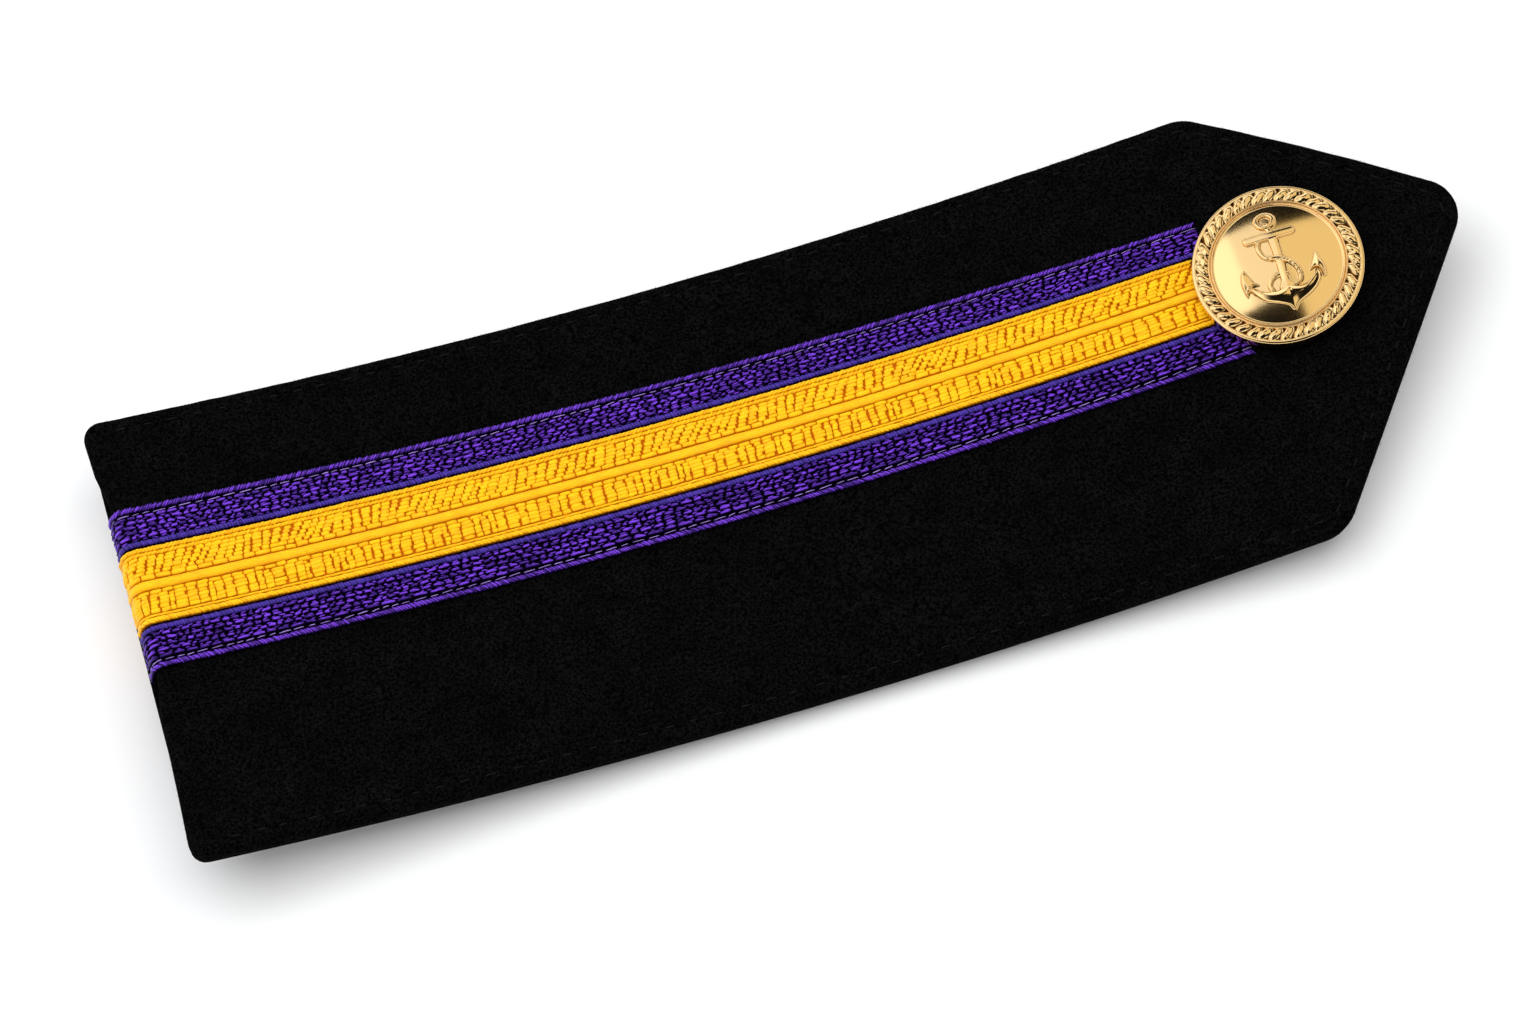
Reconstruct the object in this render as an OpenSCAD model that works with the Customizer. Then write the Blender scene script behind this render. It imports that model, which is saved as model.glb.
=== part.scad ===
// Hard shoulder board: a cloth-covered board with a pointed end, bowed along
// its length, with three strips of flat braid and a gilt anchor button.
// Millimetres. X runs along the board to its point, Y across it, Z up.
// The origin is under the middle of the board, on the surface it lies on.

/* [Board] */
// Length along the curve, from the square end to the tip
board_len = 157.9; // [140:0.1:170]
// Width at the square end
end_w = 53.2; // [50:0.1:56]
// Width at the shoulders, where the point begins
shoulder_w = 53.7; // [50:0.1:58]
// Length of the point, from the shoulders to the tip
point_len = 26.4; // [20:0.1:32]
// Sideways place of the tip, from the middle line
tip_off = 6.2; // [0:0.1:10]
// Radius of the lengthwise bow, at the underside
bow_r = 387; // [320:1:900]
// Distance from the square end to the line that touches the surface
low_at = 79.7; // [74:0.1:84]
// How far the middle of the square end is drawn in from its corners
end_hollow = 0.8; // [0:0.1:2]
// How far the square end's far corner is set back from its near one
end_skew = 2.5; // [0:0.1:3]
// How much further the braid, pulled tight round the end, draws the cloth in
braid_pull = 0.6; // [0:0.05:0.8]
// How far the far edge of the point swells outwards
point_swell = 0.35; // [0:0.05:1]
// Corner radius of the square end
end_corner_r = 2.2; // [2:0.1:4]
// Corner radius of the shoulders
shoulder_r = 5; // [3:0.1:8]
// Corner radius of the tip
tip_r = 4.4; // [2.5:0.1:6]

/* [Cloth] */
// Thickness of the covered board
cover_t = 2.35; // [2:0.05:3]
// Thickness of the backing cloth
backing_t = 1.0; // [0.8:0.05:1.4]
// How far the backing stops short of the cover's edge
backing_inset = 0.45; // [0.2:0.05:1]
// Radius that the cover's edge is rolled to
cover_roll = 1.1; // [0.6:0.05:1.1]
// Gap between pieces that lie on each other
seat_gap = 0.06; // [0.04:0.01:0.1]

/* [Braid] */
// Height of the braid's woven body
braid_t = 0.45; // [0.35:0.05:0.7]
// Length of braid turned under the square end
tail_len = 8; // [5:0.5:15]
// Gap between neighbouring strips
strip_gap = 0.06; // [0.04:0.01:0.2]
// Far edge of the upper purple strip: at the square end, halfway and at the button
upper_edge_y = [15.2, 14.75, 13.6];
// Line between the upper purple strip and the yellow one, at the same three places
upper_line_y = [10.1, 10.05, 9.45];
// Line between the yellow strip and the lower purple one
lower_line_y = [1.0, 1.2, 1.05];
// Near edge of the lower purple strip
lower_edge_y = [-4.3, -3.95, -3.85];
// Distance from the square end to the button end of the upper purple strip
upper_strip_len = 128.3; // [110:0.1:129]
// The same for the yellow strip
yellow_strip_len = 126.5; // [110:0.1:127]
// The same for the lower purple strip, which ends under the button
lower_strip_len = 129.1; // [110:0.1:131]

/* [Button] */
// Diameter of the button
button_d = 19.2; // [18.5:0.1:20]
// Distance from the square end to the button's centre
button_at = 135.1; // [132:0.1:137]
// Sideways place of the button's centre
button_y = 4.45; // [3:0.05:5]
// Height of the rope border's ledge above the cloth
ledge_z = 2.4; // [2.2:0.1:3]
// Rise of the domed face above the ledge
dome_rise = 0.7; // [0.4:0.1:1.2]
// Thickness of the button's metal
shell_t = 0.45; // [0.4:0.05:0.6]
// Strands that show round the rope border
rope_strands = 36; // [24:1:44]
// Height of the anchor above the face
relief = 0.5; // [0.3:0.05:0.7]
// Free length of the pin under the board
pin_len = 2.0; // [1.5:0.1:2.2]
// Diameter of the pin
pin_d = 2.4; // [2:0.1:3]

/* [Hidden] */

board_t = backing_t + seat_gap + cover_t;
square_s = -low_at;
tip_s = board_len - low_at;
shoulder_s = tip_s - point_len;
button_s = button_at - low_at;

// Angle round the bow that belongs to a distance s along it
function deg(s) = s / bow_r * 180 / PI;

// How far a point at distance s and height h above the underside lies from the
// line that touches the surface
function reach(s, h) = (bow_r - h) * sin(deg(s));

// Bends a flat point [s, y, h] onto the bow
function bend(p) = [
    reach(p.x, p.z) - mid_x,
    p.y,
    bow_r - (bow_r - p.z) * cos(deg(p.x))];

// Moves a child from the flat cloth's top, at [s, y], onto the bow
module on_board(s, y) {
    translate(bend([s, y, board_t]))
        rotate([0, -deg(s), 0])
            children();
}

function mix(a, b, t) = a + (b - a) * t;
function unit(v) = v / norm(v);

// How far the square end is drawn in at a distance y from the middle line: a long
// hollow, and the pull of the braid over the stretch that it covers
pull_rows = [
    // y, share of the pull
    [-9.1, 0],
    [-5.4, 1],
    [17.1, 1],
    [20.3, 0]];
function hollow(y) = end_hollow * (1 - pow(2 * y / end_w, 2))
    + braid_pull * lookup(y, pull_rows);

// The square end's line, hollow and skewed
function end_shift(y) = hollow(y) + end_skew * y / end_w;

// How much of the hollow a line across the board still has at distance s
hollow_len = 30;
function follow(s) = min(1, max(0, 1 - (s - square_s) / hollow_len));

// The corner between the directions into it and out of it, as points at an even
// turn, each [point, inward normal]. The outline runs with its inside on the left.
function corner(p, before, after, r, steps) =
    let (
        a = unit(p - before),
        b = unit(after - p),
        turn = atan2(a.x * b.y - a.y * b.x, a * b),
        back = r * tan(turn / 2),
        start = p - a * back,
        centre = start + [-a.y, a.x] * r,
        from = atan2(a.y, a.x) - 90)
    [for (i = [0:steps]) let (w = from + turn * i / steps)
        [centre + r * [cos(w), sin(w)], -[cos(w), sin(w)]]];

// Points spread evenly between two outline points, without those two, on a line
// that swells outwards in the middle
function between(a, b, count, swell = 0) = [for (i = [1:count])
    let (t = i / (count + 1), n = unit(mix(a[1], b[1], t)))
    [mix(a[0], b[0], t) - n * swell * 4 * t * (1 - t), n]];

near_end = [square_s - end_skew / 2, -end_w / 2];
far_end = [square_s + end_skew / 2, end_w / 2];
near_shoulder = [shoulder_s, -shoulder_w / 2];
far_shoulder = [shoulder_s, shoulder_w / 2];
// The point's sides, drawn straight on, meet this far past the rounded tip
tip_reach = 0.44;
tip = [tip_s + tip_reach, tip_off];

side_steps = 12;
slant_steps = 3;
turn_steps = 3;
// Places across the width, as shares of it, close together where the braid turns
across = [0, 0.15, 0.33, 0.4, 0.5, 0.6, 0.7, 0.82, 0.88, 1];
columns = len(across) - 1;

// The near side's stations from the square end to the tip, and the far side's
// reversed to match them one by one
tip_turn = corner(tip, near_shoulder, far_shoulder, tip_r, 2 * turn_steps + 1);
near_side = let (
        a = corner(near_end, far_end, near_shoulder, end_corner_r, turn_steps),
        b = corner(near_shoulder, near_end, tip, shoulder_r, turn_steps),
        c = [for (i = [0:turn_steps]) tip_turn[i]])
    concat(a, between(a[turn_steps], b[0], side_steps), b,
        between(b[turn_steps], c[0], slant_steps), c);
far_side = let (
        a = corner(far_end, far_shoulder, near_end, end_corner_r, turn_steps),
        b = corner(far_shoulder, tip, far_end, shoulder_r, turn_steps),
        c = [for (i = [0:turn_steps]) tip_turn[2 * turn_steps + 1 - i]],
        a_back = [for (i = [turn_steps:-1:0]) a[i]],
        b_back = [for (i = [turn_steps:-1:0]) b[i]])
    concat(a_back, between(a_back[turn_steps], b_back[0], side_steps),
        b_back, between(b_back[turn_steps], c[0], slant_steps, point_swell), c);
stations = len(near_side);

// One row across the board at a station, drawn in from the outline by d
function row(i, d) =
    let (
        a = near_side[i][0] + near_side[i][1] * d,
        b = far_side[i][0] + far_side[i][1] * d)
    [for (share = across) let (p = mix(a, b, share))
        share == 0 || share == 1 ? p : p + [hollow(p.y) * follow(p.x), 0]];

// The outline drawn in by d, as a ring of points: the near side, the tip, the
// far side back, and the square end
function ring(d) =
    let (rows = [for (i = [0:stations - 1]) row(i, d)], last = stations - 1)
    concat(
        [for (i = [0:last]) rows[i][0]],
        [for (j = [1:columns - 1]) rows[last][j]],
        [for (i = [last:-1:0]) rows[i][columns]],
        [for (j = [columns - 1:-1:1]) rows[0][j]]);

// The middle of the board's length in plan, which the origin lies under
widest_h = backing_t + seat_gap + cover_t / 2;
reaches = [for (p = ring(0)) reach(p.x, widest_h)];
mid_x = (min(reaches) + max(reaches)) / 2;

// The edge's profile, from the top face round to the bottom face: each step is
// how far it is drawn in, and its height
roll_steps = 3;
function edge_profile(low, high, inset, roll) = concat(
    [for (i = [0:roll_steps]) let (w = 90 - 90 * i / roll_steps)
        [inset + roll * (1 - cos(w)), high - roll + roll * sin(w)]],
    [for (i = [0:roll_steps]) let (w = -90 * i / roll_steps)
        [inset + roll * (1 - cos(w)), low + roll + roll * sin(w)]]);

// A bowed sheet of the board's outline, from height low to height high, drawn in
// by inset and with its edge rolled to the radius roll all round
module sheet(low, high, inset, roll) {
    profile = edge_profile(low, high, inset, roll);
    bands = len(profile);
    last = stations - 1;
    rings = [for (step = profile) [for (p = ring(step[0])) [p.x, p.y, step[1]]]];
    n = len(rings[0]);
    // Inner points of the two faces: the rows without their ends
    face = [for (h = [high, low]) for (i = [1:last - 1])
        for (j = [1:columns - 1])
            let (p = row(i, inset + roll)[j]) [p.x, p.y, h]];
    points = [for (p = concat([for (r = rings) each r], face)) bend(p)];
    inner = (last - 1) * (columns - 1);
    // Number of a grid point on the top (side 0) or the bottom (side 1)
    function at(side, i, j) =
        let (base = side == 0 ? 0 : (bands - 1) * n)
        j == 0 ? base + i
        : j == columns ? base + last + columns + (last - i)
        : i == last ? base + last + j
        : i == 0 ? base + n - j
        : bands * n + side * inner + (i - 1) * (columns - 1) + j - 1;
    walls = [for (k = [0:bands - 2]) for (i = [0:n - 1])
        let (a = k * n + i, b = k * n + (i + 1) % n)
        each [[a, b, b + n], [a, b + n, a + n]]];
    caps = [for (side = [0, 1]) for (i = [0:last - 1]) for (j = [0:columns - 1])
        let (
            q = [at(side, i, j), at(side, i + 1, j),
                at(side, i + 1, j + 1), at(side, i, j + 1)])
        each side == 0
            ? [[q[0], q[2], q[1]], [q[0], q[3], q[2]]]
            : [[q[0], q[1], q[2]], [q[0], q[2], q[3]]]];
    polyhedron(points, concat(walls, caps), convexity = 6);
}

// The hole in both cloths that the button's post passes through
post_r = 1.5;
hole_r = 1.65;
module post_hole() {
    on_board(button_s, button_y)
        translate([0, 0, -2 * board_t])
            cylinder(r = hole_r, h = 3 * board_t, $fn = 48);
}

module cloth_cover() {
    color("#0c0c0d")
        difference() {
            sheet(backing_t + seat_gap, board_t, 0, cover_roll);
            post_hole();
        }
}

backing_roll = 0.45;
module backing_cloth() {
    color("#141415")
        difference() {
            sheet(0, backing_t, backing_inset, backing_roll);
            post_hole();
        }
}

// Cross-sections of the braids. This one has the outer cord, a groove, the woven
// body, a groove and the inner cord.
purple_profile = [
    // distance from the strip's first edge as a share of its width, height in braid_t
    [0.00, 0.35], [0.04, 0.95], [0.10, 0.95], [0.14, 0.55], [0.19, 1.0],
    [0.48, 1.1], [0.77, 1.0], [0.81, 0.6], [0.86, 1.15], [0.95, 1.15], [1.00, 0.35]];
// Edge cord, ribbed band, middle cord, ribbed band and edge cord
yellow_profile = [
    // share of the width, height in braid_t
    [0.00, 0.35], [0.03, 1.1], [0.08, 1.1], [0.11, 0.65], [0.14, 1.1], [0.27, 1.2],
    [0.40, 1.1], [0.43, 0.7], [0.46, 1.25], [0.55, 1.25], [0.57, 0.7], [0.60, 1.1],
    [0.73, 1.2], [0.86, 1.1], [0.89, 0.65], [0.92, 1.1], [0.97, 1.1], [1.00, 0.35]];

// The strips' path lies on the cloth: each station is [s, h, outward s, outward h],
// where s counts from the square end. It runs from the tail's free end under the
// board, round the rolled edge, and along the top
wrap_steps = 3;
run_steps = 13;
function wrap(centre_h, from) = [for (i = [0:wrap_steps])
    let (w = from - 90 * i / wrap_steps, r = cover_roll + seat_gap)
    [cover_roll + r * cos(w), centre_h + r * sin(w), cos(w), sin(w)]];
function path(run_end) = concat(
    [[tail_len, -seat_gap, 0, -1]],
    wrap(cover_roll, 270),
    wrap(board_t - cover_roll, 180),
    [for (i = [1:run_steps])
        [mix(cover_roll, run_end, i / run_steps), board_t + seat_gap, 0, 1]]);

// An edge line's y at a share t of the way to the button, through its three places
function edge_y(line, t) = line[0] * (1 - t) * (1 - 2 * t) + line[1] * 4 * t * (1 - t)
    + line[2] * t * (2 * t - 1);

// A strip of braid between two edge lines, whose far end lies at run_end
module braid(edge_a, edge_b, profile, run_end) {
    stops = path(run_end);
    n = len(profile);
    around = concat(profile, [[1, 0], [0, 0]]);
    m = len(around);
    points = [for (stop = stops) for (q = around)
        let (
            along = min(1, max(0, stop[0] / button_at)),
            a = edge_y(edge_a, along),
            b = edge_y(edge_b, along),
            y = mix(a, b, q[0]),
            rise = q[1] * braid_t,
            shift = end_shift(y) * follow(square_s + stop[0]))
        bend([square_s + stop[0] + shift + rise * stop[2], y,
            stop[1] + rise * stop[3]])];
    last = (len(stops) - 1) * m;
    walls = [for (k = [0:len(stops) - 2]) for (i = [0:m - 1])
        let (p = k * m + i, q = k * m + (i + 1) % m)
        each [[p, q + m, q], [p, p + m, q + m]]];
    // Each end is closed by strips between the crest line and the flat underside
    ends = concat(
        [for (i = [0:n - 2]) [m - 1, i, i + 1]],
        [[m - 1, n - 1, m - 2]],
        [for (i = [0:n - 2]) [last + m - 1, last + i + 1, last + i]],
        [[last + m - 1, last + m - 2, last + n - 1]]);
    polyhedron(points, concat(walls, ends), convexity = 8);
}

half_gap = [1, 1, 1] * strip_gap / 2;

module upper_purple_braid() {
    color("#4a1fa0")
        braid(upper_edge_y, upper_line_y + half_gap, purple_profile, upper_strip_len);
}

module yellow_braid() {
    color("#f9b80f")
        braid(upper_line_y - half_gap, lower_line_y + half_gap, yellow_profile,
            yellow_strip_len);
}

module lower_purple_braid() {
    flipped = [for (i = [len(purple_profile) - 1:-1:0])
        [1 - purple_profile[i][0], purple_profile[i][1]]];
    color("#4a1fa0")
        braid(lower_line_y - half_gap, lower_edge_y, flipped, lower_strip_len);
}

// Button radii from the outside in: the lip, the middle of the rope border, the
// raised bead inside it, and the face
button_r = button_d / 2;
rope_r = button_r * 0.885;
bead_r = button_r * 0.79;
face_r = button_r * 0.76;
// Half the rope's thickness, how much of it the strands' swell takes, and the height
// of its middle above the ledge
rope_half = 0.62;
rope_swell = 0.12;
rope_rise = 0.1;
// The bead's half width and height
bead_half = 0.22;
bead_h = 0.36;
// The shell's outer edges are rolled over to this radius
lip_roll = 0.35;
// Height of the button's foot above the cloth, clear of the braid
button_foot = 0.8;
crimp_t = 0.35;
crimp_w = 0.7;
plate_t = 0.35;
plate_gap = 0.35;
plate_r = button_r - shell_t - plate_gap;
plate_z = button_foot + crimp_t + seat_gap;

// Height of the domed face at radius r
function dome_z(r) = ledge_z + dome_rise * (1 - pow(r / face_r, 2));

dome_steps = 7;
dome = [for (i = [0:dome_steps]) let (r = face_r * i / dome_steps) [r, dome_z(r)]];

// A quarter of the shell's rolled lip about [r, z], from one angle to another
lip_steps = 3;
function lip(r, z, from, to) = [for (i = [0:lip_steps]) let (w = mix(from, to, i / lip_steps))
    [r + lip_roll * cos(w), z + lip_roll * sin(w)]];

// The pressed shell with its crimped foot, as a half profile turned round
module shell_body() {
    inner_r = button_r - shell_t;
    crimp_r = plate_r - crimp_w;
    crimp_top = button_foot + crimp_t;
    rotate_extrude($fn = 96)
        polygon(concat(
            dome,
            [[bead_r - bead_half, ledge_z + bead_h * 0.75], [bead_r, ledge_z + bead_h],
                [bead_r + bead_half, ledge_z + bead_h * 0.75],
                [bead_r + bead_half * 1.5, ledge_z]],
            lip(button_r - lip_roll, ledge_z - lip_roll, 90, 0),
            lip(button_r - lip_roll, button_foot + lip_roll, 0, -90),
            [[crimp_r, button_foot], [crimp_r, crimp_top], [inner_r, crimp_top],
                [inner_r, ledge_z - shell_t]],
            [for (i = [dome_steps:-1:0]) [dome[i].x, dome[i].y - shell_t]]));
}

// The rope border: a ring whose round section swells and thins along slanted
// strands, let into the ledge
module rope_border() {
    sides = 6;
    per_strand = 4;
    count = rope_strands * per_strand;
    points = [for (i = [0:count - 1]) for (k = [0:sides - 1])
        let (
            w = 360 * i / count,
            q = 360 * k / sides + 15,
            swell = rope_half * (1 - rope_swell + rope_swell * cos(rope_strands * w + q)),
            r = rope_r + swell * cos(q))
        [r * cos(w), r * sin(w), ledge_z + rope_rise + swell * sin(q)]];
    faces = [for (i = [0:count - 1]) for (k = [0:sides - 1])
        let (
            a = i * sides + k,
            b = i * sides + (k + 1) % sides,
            c = ((i + 1) % count) * sides + (k + 1) % sides,
            d = ((i + 1) % count) * sides + k)
        each [[a, b, c], [a, c, d]]];
    polyhedron(points, faces, convexity = 8);
}

// A bar with round ends, drawn flat, from point a to point b
module bar(a, b, w) {
    d = b - a;
    translate(a)
        rotate(atan2(d.y, d.x)) {
            translate([0, -w / 2]) square([norm(d), w]);
            circle(d = w, $fn = 32);
            translate([norm(d), 0]) circle(d = w, $fn = 32);
        }
}

// A curved bar about a centre, from one angle to another
module arc_bar(centre, r, w, from, to) {
    steps = 6;
    at = [for (i = [0:steps]) let (a = mix(from, to, i / steps))
        centre + r * [cos(a), sin(a)]];
    for (i = [0:steps - 1]) bar(at[i], at[i + 1], w);
}

// The anchor's outline, drawn flat with its ring towards +Y and the button's
// centre at the origin
anchor_ring = [0.4, 5.5];
crown = [-0.1, -5.9];
module anchor_outline() {
    translate(anchor_ring)
        difference() {
            circle(r = 1.15, $fn = 32);
            circle(r = 0.55, $fn = 32);
        }
    bar([-2.6, 3.7], [3.0, 3.8], 0.75);
    bar([0.3, 4.5], [0, -4.2], 0.9);
    // Arms, thick at the crown and drawn out to the flukes
    polygon([crown, [1.9, -4.9], [3.3, -3.7], [4.1, -2.6], [3.5, -2.2], [2.4, -3.2],
        [0.9, -3.6], [-0.1, -3.5], [-1.1, -3.5], [-2.5, -2.9], [-3.6, -1.9], [-4.3, -2.2],
        [-3.4, -3.5], [-2.0, -4.8]]);
    polygon([[-4.1, 0.7], [-3.5, -0.6], [-2.75, -1.7], [-3.7, -1.7], [-4.6, -2.7],
        [-4.6, -1.0]]);
    polygon([[4.3, 0.1], [4.3, -1.6], [4.25, -3.25], [3.8, -2.4], [3.0, -1.8],
        [3.8, -0.9]]);
}

// The rope that hangs from the stock and winds once round the shank
module rope_outline() {
    arc_bar([0.1, 2.1], 1.35, 0.5, 100, 240);
    bar([-0.5, 0.9], [1.2, -0.4], 0.5);
    arc_bar([0.7, -1.6], 1.25, 0.5, 70, -75);
    arc_bar([-0.6, -2.3], 1.1, 0.5, 80, 230);
}

// The anchor stands on the face, and its top follows the dome
module anchor_relief() {
    intersection() {
        translate([0, 0, ledge_z - 0.3])
            linear_extrude(dome_rise + relief + 1) {
                anchor_outline();
                rope_outline();
            }
        rotate_extrude($fn = 96)
            polygon(concat(
                [for (p = dome) [p.x, p.y + relief]],
                [[face_r, ledge_z - 0.2], [0, ledge_z - 0.2]]));
    }
}

module button_shell() {
    color("#e0b050")
        on_board(button_s, button_y)
            union() {
                shell_body();
                rope_border();
                anchor_relief();
            }
}

// The post: a back plate held in the shell's crimp, a collar on the cloth, the
// neck through the board, a riveted flange under it and the free pin
collar_r = 2.8;
flange_r = 3.8;
flange_t = 0.5;
module button_post() {
    under = -board_t - seat_gap;
    flange_z = under - flange_t;
    color("#c9a24a")
        on_board(button_s, button_y)
            rotate_extrude($fn = 96)
                polygon([
                    [0, plate_z + plate_t], [plate_r, plate_z + plate_t],
                    [plate_r, plate_z], [collar_r, plate_z], [collar_r, seat_gap],
                    [post_r, seat_gap], [post_r, under], [flange_r, under],
                    [flange_r, flange_z], [pin_d / 2, flange_z],
                    [pin_d / 2, flange_z - pin_len], [0, flange_z - pin_len]]);
}

cloth_cover();
backing_cloth();
upper_purple_braid();
yellow_braid();
lower_purple_braid();
button_shell();
button_post();
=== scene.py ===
"""Dresses a packed shoulder board: black doeskin, flat woven braid and a gilt anchor button.

Every length is in metres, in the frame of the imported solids: X along the board to its
point, Y across it and Z up from the surface that it lies on.
"""

import math

import bmesh
import bpy
import numpy as np
from bpy.props import FloatProperty, FloatVectorProperty, IntProperty, PointerProperty
from mathutils import Matrix, Vector


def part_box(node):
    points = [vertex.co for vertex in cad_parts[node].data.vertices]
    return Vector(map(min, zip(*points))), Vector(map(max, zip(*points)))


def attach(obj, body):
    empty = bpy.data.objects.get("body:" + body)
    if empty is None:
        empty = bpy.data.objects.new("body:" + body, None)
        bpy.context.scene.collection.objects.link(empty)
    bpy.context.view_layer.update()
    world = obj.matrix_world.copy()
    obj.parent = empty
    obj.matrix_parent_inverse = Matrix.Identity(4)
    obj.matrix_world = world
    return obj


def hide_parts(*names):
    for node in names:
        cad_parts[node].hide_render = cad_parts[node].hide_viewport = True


bl_info = {
    "name": "Shoulder board",
    "version": (1, 0, 0),
    "blender": (4, 5, 0),
    "location": "3D View > Sidebar > Shoulder board",
    "description": "Makes the cloth, braid and gilt button of a shoulder board",
    "category": "Object",
}

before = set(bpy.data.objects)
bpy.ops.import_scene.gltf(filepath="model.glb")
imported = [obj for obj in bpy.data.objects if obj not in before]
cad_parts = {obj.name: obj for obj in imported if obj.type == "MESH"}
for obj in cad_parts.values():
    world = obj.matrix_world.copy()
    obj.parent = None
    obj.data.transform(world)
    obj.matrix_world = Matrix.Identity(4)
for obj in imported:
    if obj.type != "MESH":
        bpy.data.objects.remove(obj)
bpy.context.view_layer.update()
MM = 0.001

# The board's flat form, as the solids have it
BOARD_LEN = 157.9 * MM
END_W = 53.2 * MM
SHOULDER_W = 53.7 * MM
POINT_LEN = 26.4 * MM
TIP_OFF = 6.2 * MM
TIP_REACH = 0.44 * MM
POINT_SWELL = 0.35 * MM
END_CORNER_R = 2.2 * MM
SHOULDER_R = 5 * MM
TIP_R = 4.4 * MM
# The square end is drawn in at its middle, and more where the braid pulls on it
END_HOLLOW = 0.8 * MM
END_SKEW = 2.5 * MM
BRAID_PULL = 0.6 * MM
PULL_Y = np.array([-9.1, -5.4, 17.1, 20.3]) * MM
PULL_SHARE = (0, 1, 1, 0)
HOLLOW_LEN = 30 * MM
# The bow along its length, and where along it the board touches the surface
BOW_R = 387 * MM
LOW_AT = 79.7 * MM
SQUARE_S = -LOW_AT
TIP_S = BOARD_LEN - LOW_AT
SHOULDER_S = TIP_S - POINT_LEN

# The layers from the surface upwards
BACKING_T = 1.0 * MM
BACKING_INSET = 0.45 * MM
BACKING_ROLL = 0.45 * MM
COVER_T = 2.35 * MM
COVER_ROLL = 1.1 * MM
SEAT_GAP = 0.06 * MM
BOARD_T = BACKING_T + SEAT_GAP + COVER_T

# The button's place, and its main sizes from its own middle and the cloth's top
BUTTON_AT = 135.1 * MM
BUTTON_S = BUTTON_AT - LOW_AT
BUTTON_Y = 4.45 * MM
BUTTON_R = 9.6 * MM
FACE_R = BUTTON_R * 0.76
BEAD_R = BUTTON_R * 0.79
ROPE_R = BUTTON_R * 0.885
LEDGE_Z = 2.4 * MM
DOME_RISE = 0.7 * MM
HOLE_R = 1.65 * MM

# The braid's edge lines: y at the square end, halfway and at the button
UPPER_EDGE = np.array([15.2, 14.75, 13.6]) * MM
UPPER_LINE = np.array([10.1, 10.05, 9.45]) * MM
LOWER_LINE = np.array([1.0, 1.2, 1.05]) * MM
LOWER_EDGE = np.array([-4.3, -3.95, -3.85]) * MM
HALF_GAP = 0.03 * MM
TAIL_LEN = 8 * MM


def linear(code):
    """An sRGB hex colour as the linear RGBA that shaders take."""
    parts = [int(code[i : i + 2], 16) / 255 for i in (1, 3, 5)]
    return [c / 12.92 if c <= 0.04045 else ((c + 0.055) / 1.055) ** 2.4 for c in parts] + [1.0]


def length(name, text, millimetres):
    """A size that a user may change."""
    return FloatProperty(
        name=name, description=text, default=millimetres * MM, min=0, precision=5, unit="LENGTH"
    )


def colour(name, text, code):
    """A colour that a user may change."""
    return FloatVectorProperty(
        name=name, description=text, default=linear(code), min=0, max=1, size=4, subtype="COLOR"
    )


def count(name, text, default):
    """A number of pieces that a user may change."""
    return IntProperty(name=name, description=text, default=default, min=1)


class ClothLook(bpy.types.PropertyGroup):
    """Sizes and colours of the cloth and its stitching."""

    stitch_inset: length("Stitch inset", "From the edge to the line of stitches", 1.65)
    stitch_pitch: length("Stitch pitch", "From one stitch to the next", 2.9)
    stitch_len: length("Stitch length", "Length of one stitch", 1.3)
    stitch_r: length("Stitch radius", "Radius of the sewing thread", 0.085)
    groove: length("Groove", "How deep the stitches pull the cloth in", 0.13)
    nap_len: length("Nap length", "Length of the longest loose fibres", 0.7)
    nap_count: count("Nap fibres", "Loose fibres on the top face", 12500)
    edge_count: count("Edge fibres", "Loose fibres round the edge", 6500)
    doeskin: colour("Doeskin", "Darkest colour of the cover", "#010101")
    fleck: colour("Fleck", "Lightest flecks of the cover", "#131314")
    # Lighter than the cloth: a painted sheen on the loose fibres
    fibre: colour("Fibre", "Colour of the loose fibres", "#1a1a1c")
    thread: colour("Thread", "Colour of the stitches", "#151517")
    felt: colour("Felt", "Darkest colour of the backing", "#060606")


class BraidLook(bpy.types.PropertyGroup):
    """Sizes and colours of the braid."""

    ground: length("Ground", "Height of the woven ground under the threads", 0.16)
    crest: length("Crest", "Height of a thread's middle where it shows", 0.3)
    # A purple thread's crest colour is a painted highlight, and the colour of its sides is painted
    # shade
    purple: colour("Purple", "Crest of a purple thread", "#7a3edc")
    purple_painted_shade: colour("Deep purple", "Sides of a purple thread", "#190246")
    # The ground's colour is painted shade in the gaps between the threads
    purple_ground_painted_shade: colour("Purple ground", "Woven ground of the purple braid", "#040009")
    # The cord's crest colour is a painted highlight, and the colour of its sides is painted shade
    violet: colour("Violet", "Crest of the cord beside the yellow braid", "#4a32a2")
    violet_painted_shade: colour("Deep violet", "Sides of that cord", "#170a50")
    # The sewing thread's crest colour is a painted highlight; its sides take the cord's painted
    # shade
    lilac: colour("Lilac", "Sewing thread of the purple braid", "#ac90de")
    # A yellow thread's crest colour is a painted highlight, and the colour of its sides is painted
    # shade
    yellow: colour("Yellow", "Crest of a yellow thread", "#fdc804")
    yellow_painted_shade: colour("Deep yellow", "Sides of a yellow thread", "#e28600")
    # The ground's colour is painted shade in the gaps between the threads
    yellow_ground_painted_shade: colour("Yellow ground", "Woven ground of the yellow braid", "#c26800")


class ButtonLook(bpy.types.PropertyGroup):
    """Sizes and colours of the button."""

    strands: count("Strands", "Strands that show round the rope border", 42)
    relief: length("Relief", "Height of the anchor above the face", 0.46)
    gilt: colour("Gilt", "Colour of the gilding", "#f9cc7e")
    # Tarnish and painted shade in the button's hollows
    worn: colour("Hollows", "Colour of the gilding in the hollows", "#4a2406")
    brass: colour("Brass", "Colour of the plain brass behind the button", "#c39a4a")


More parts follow.
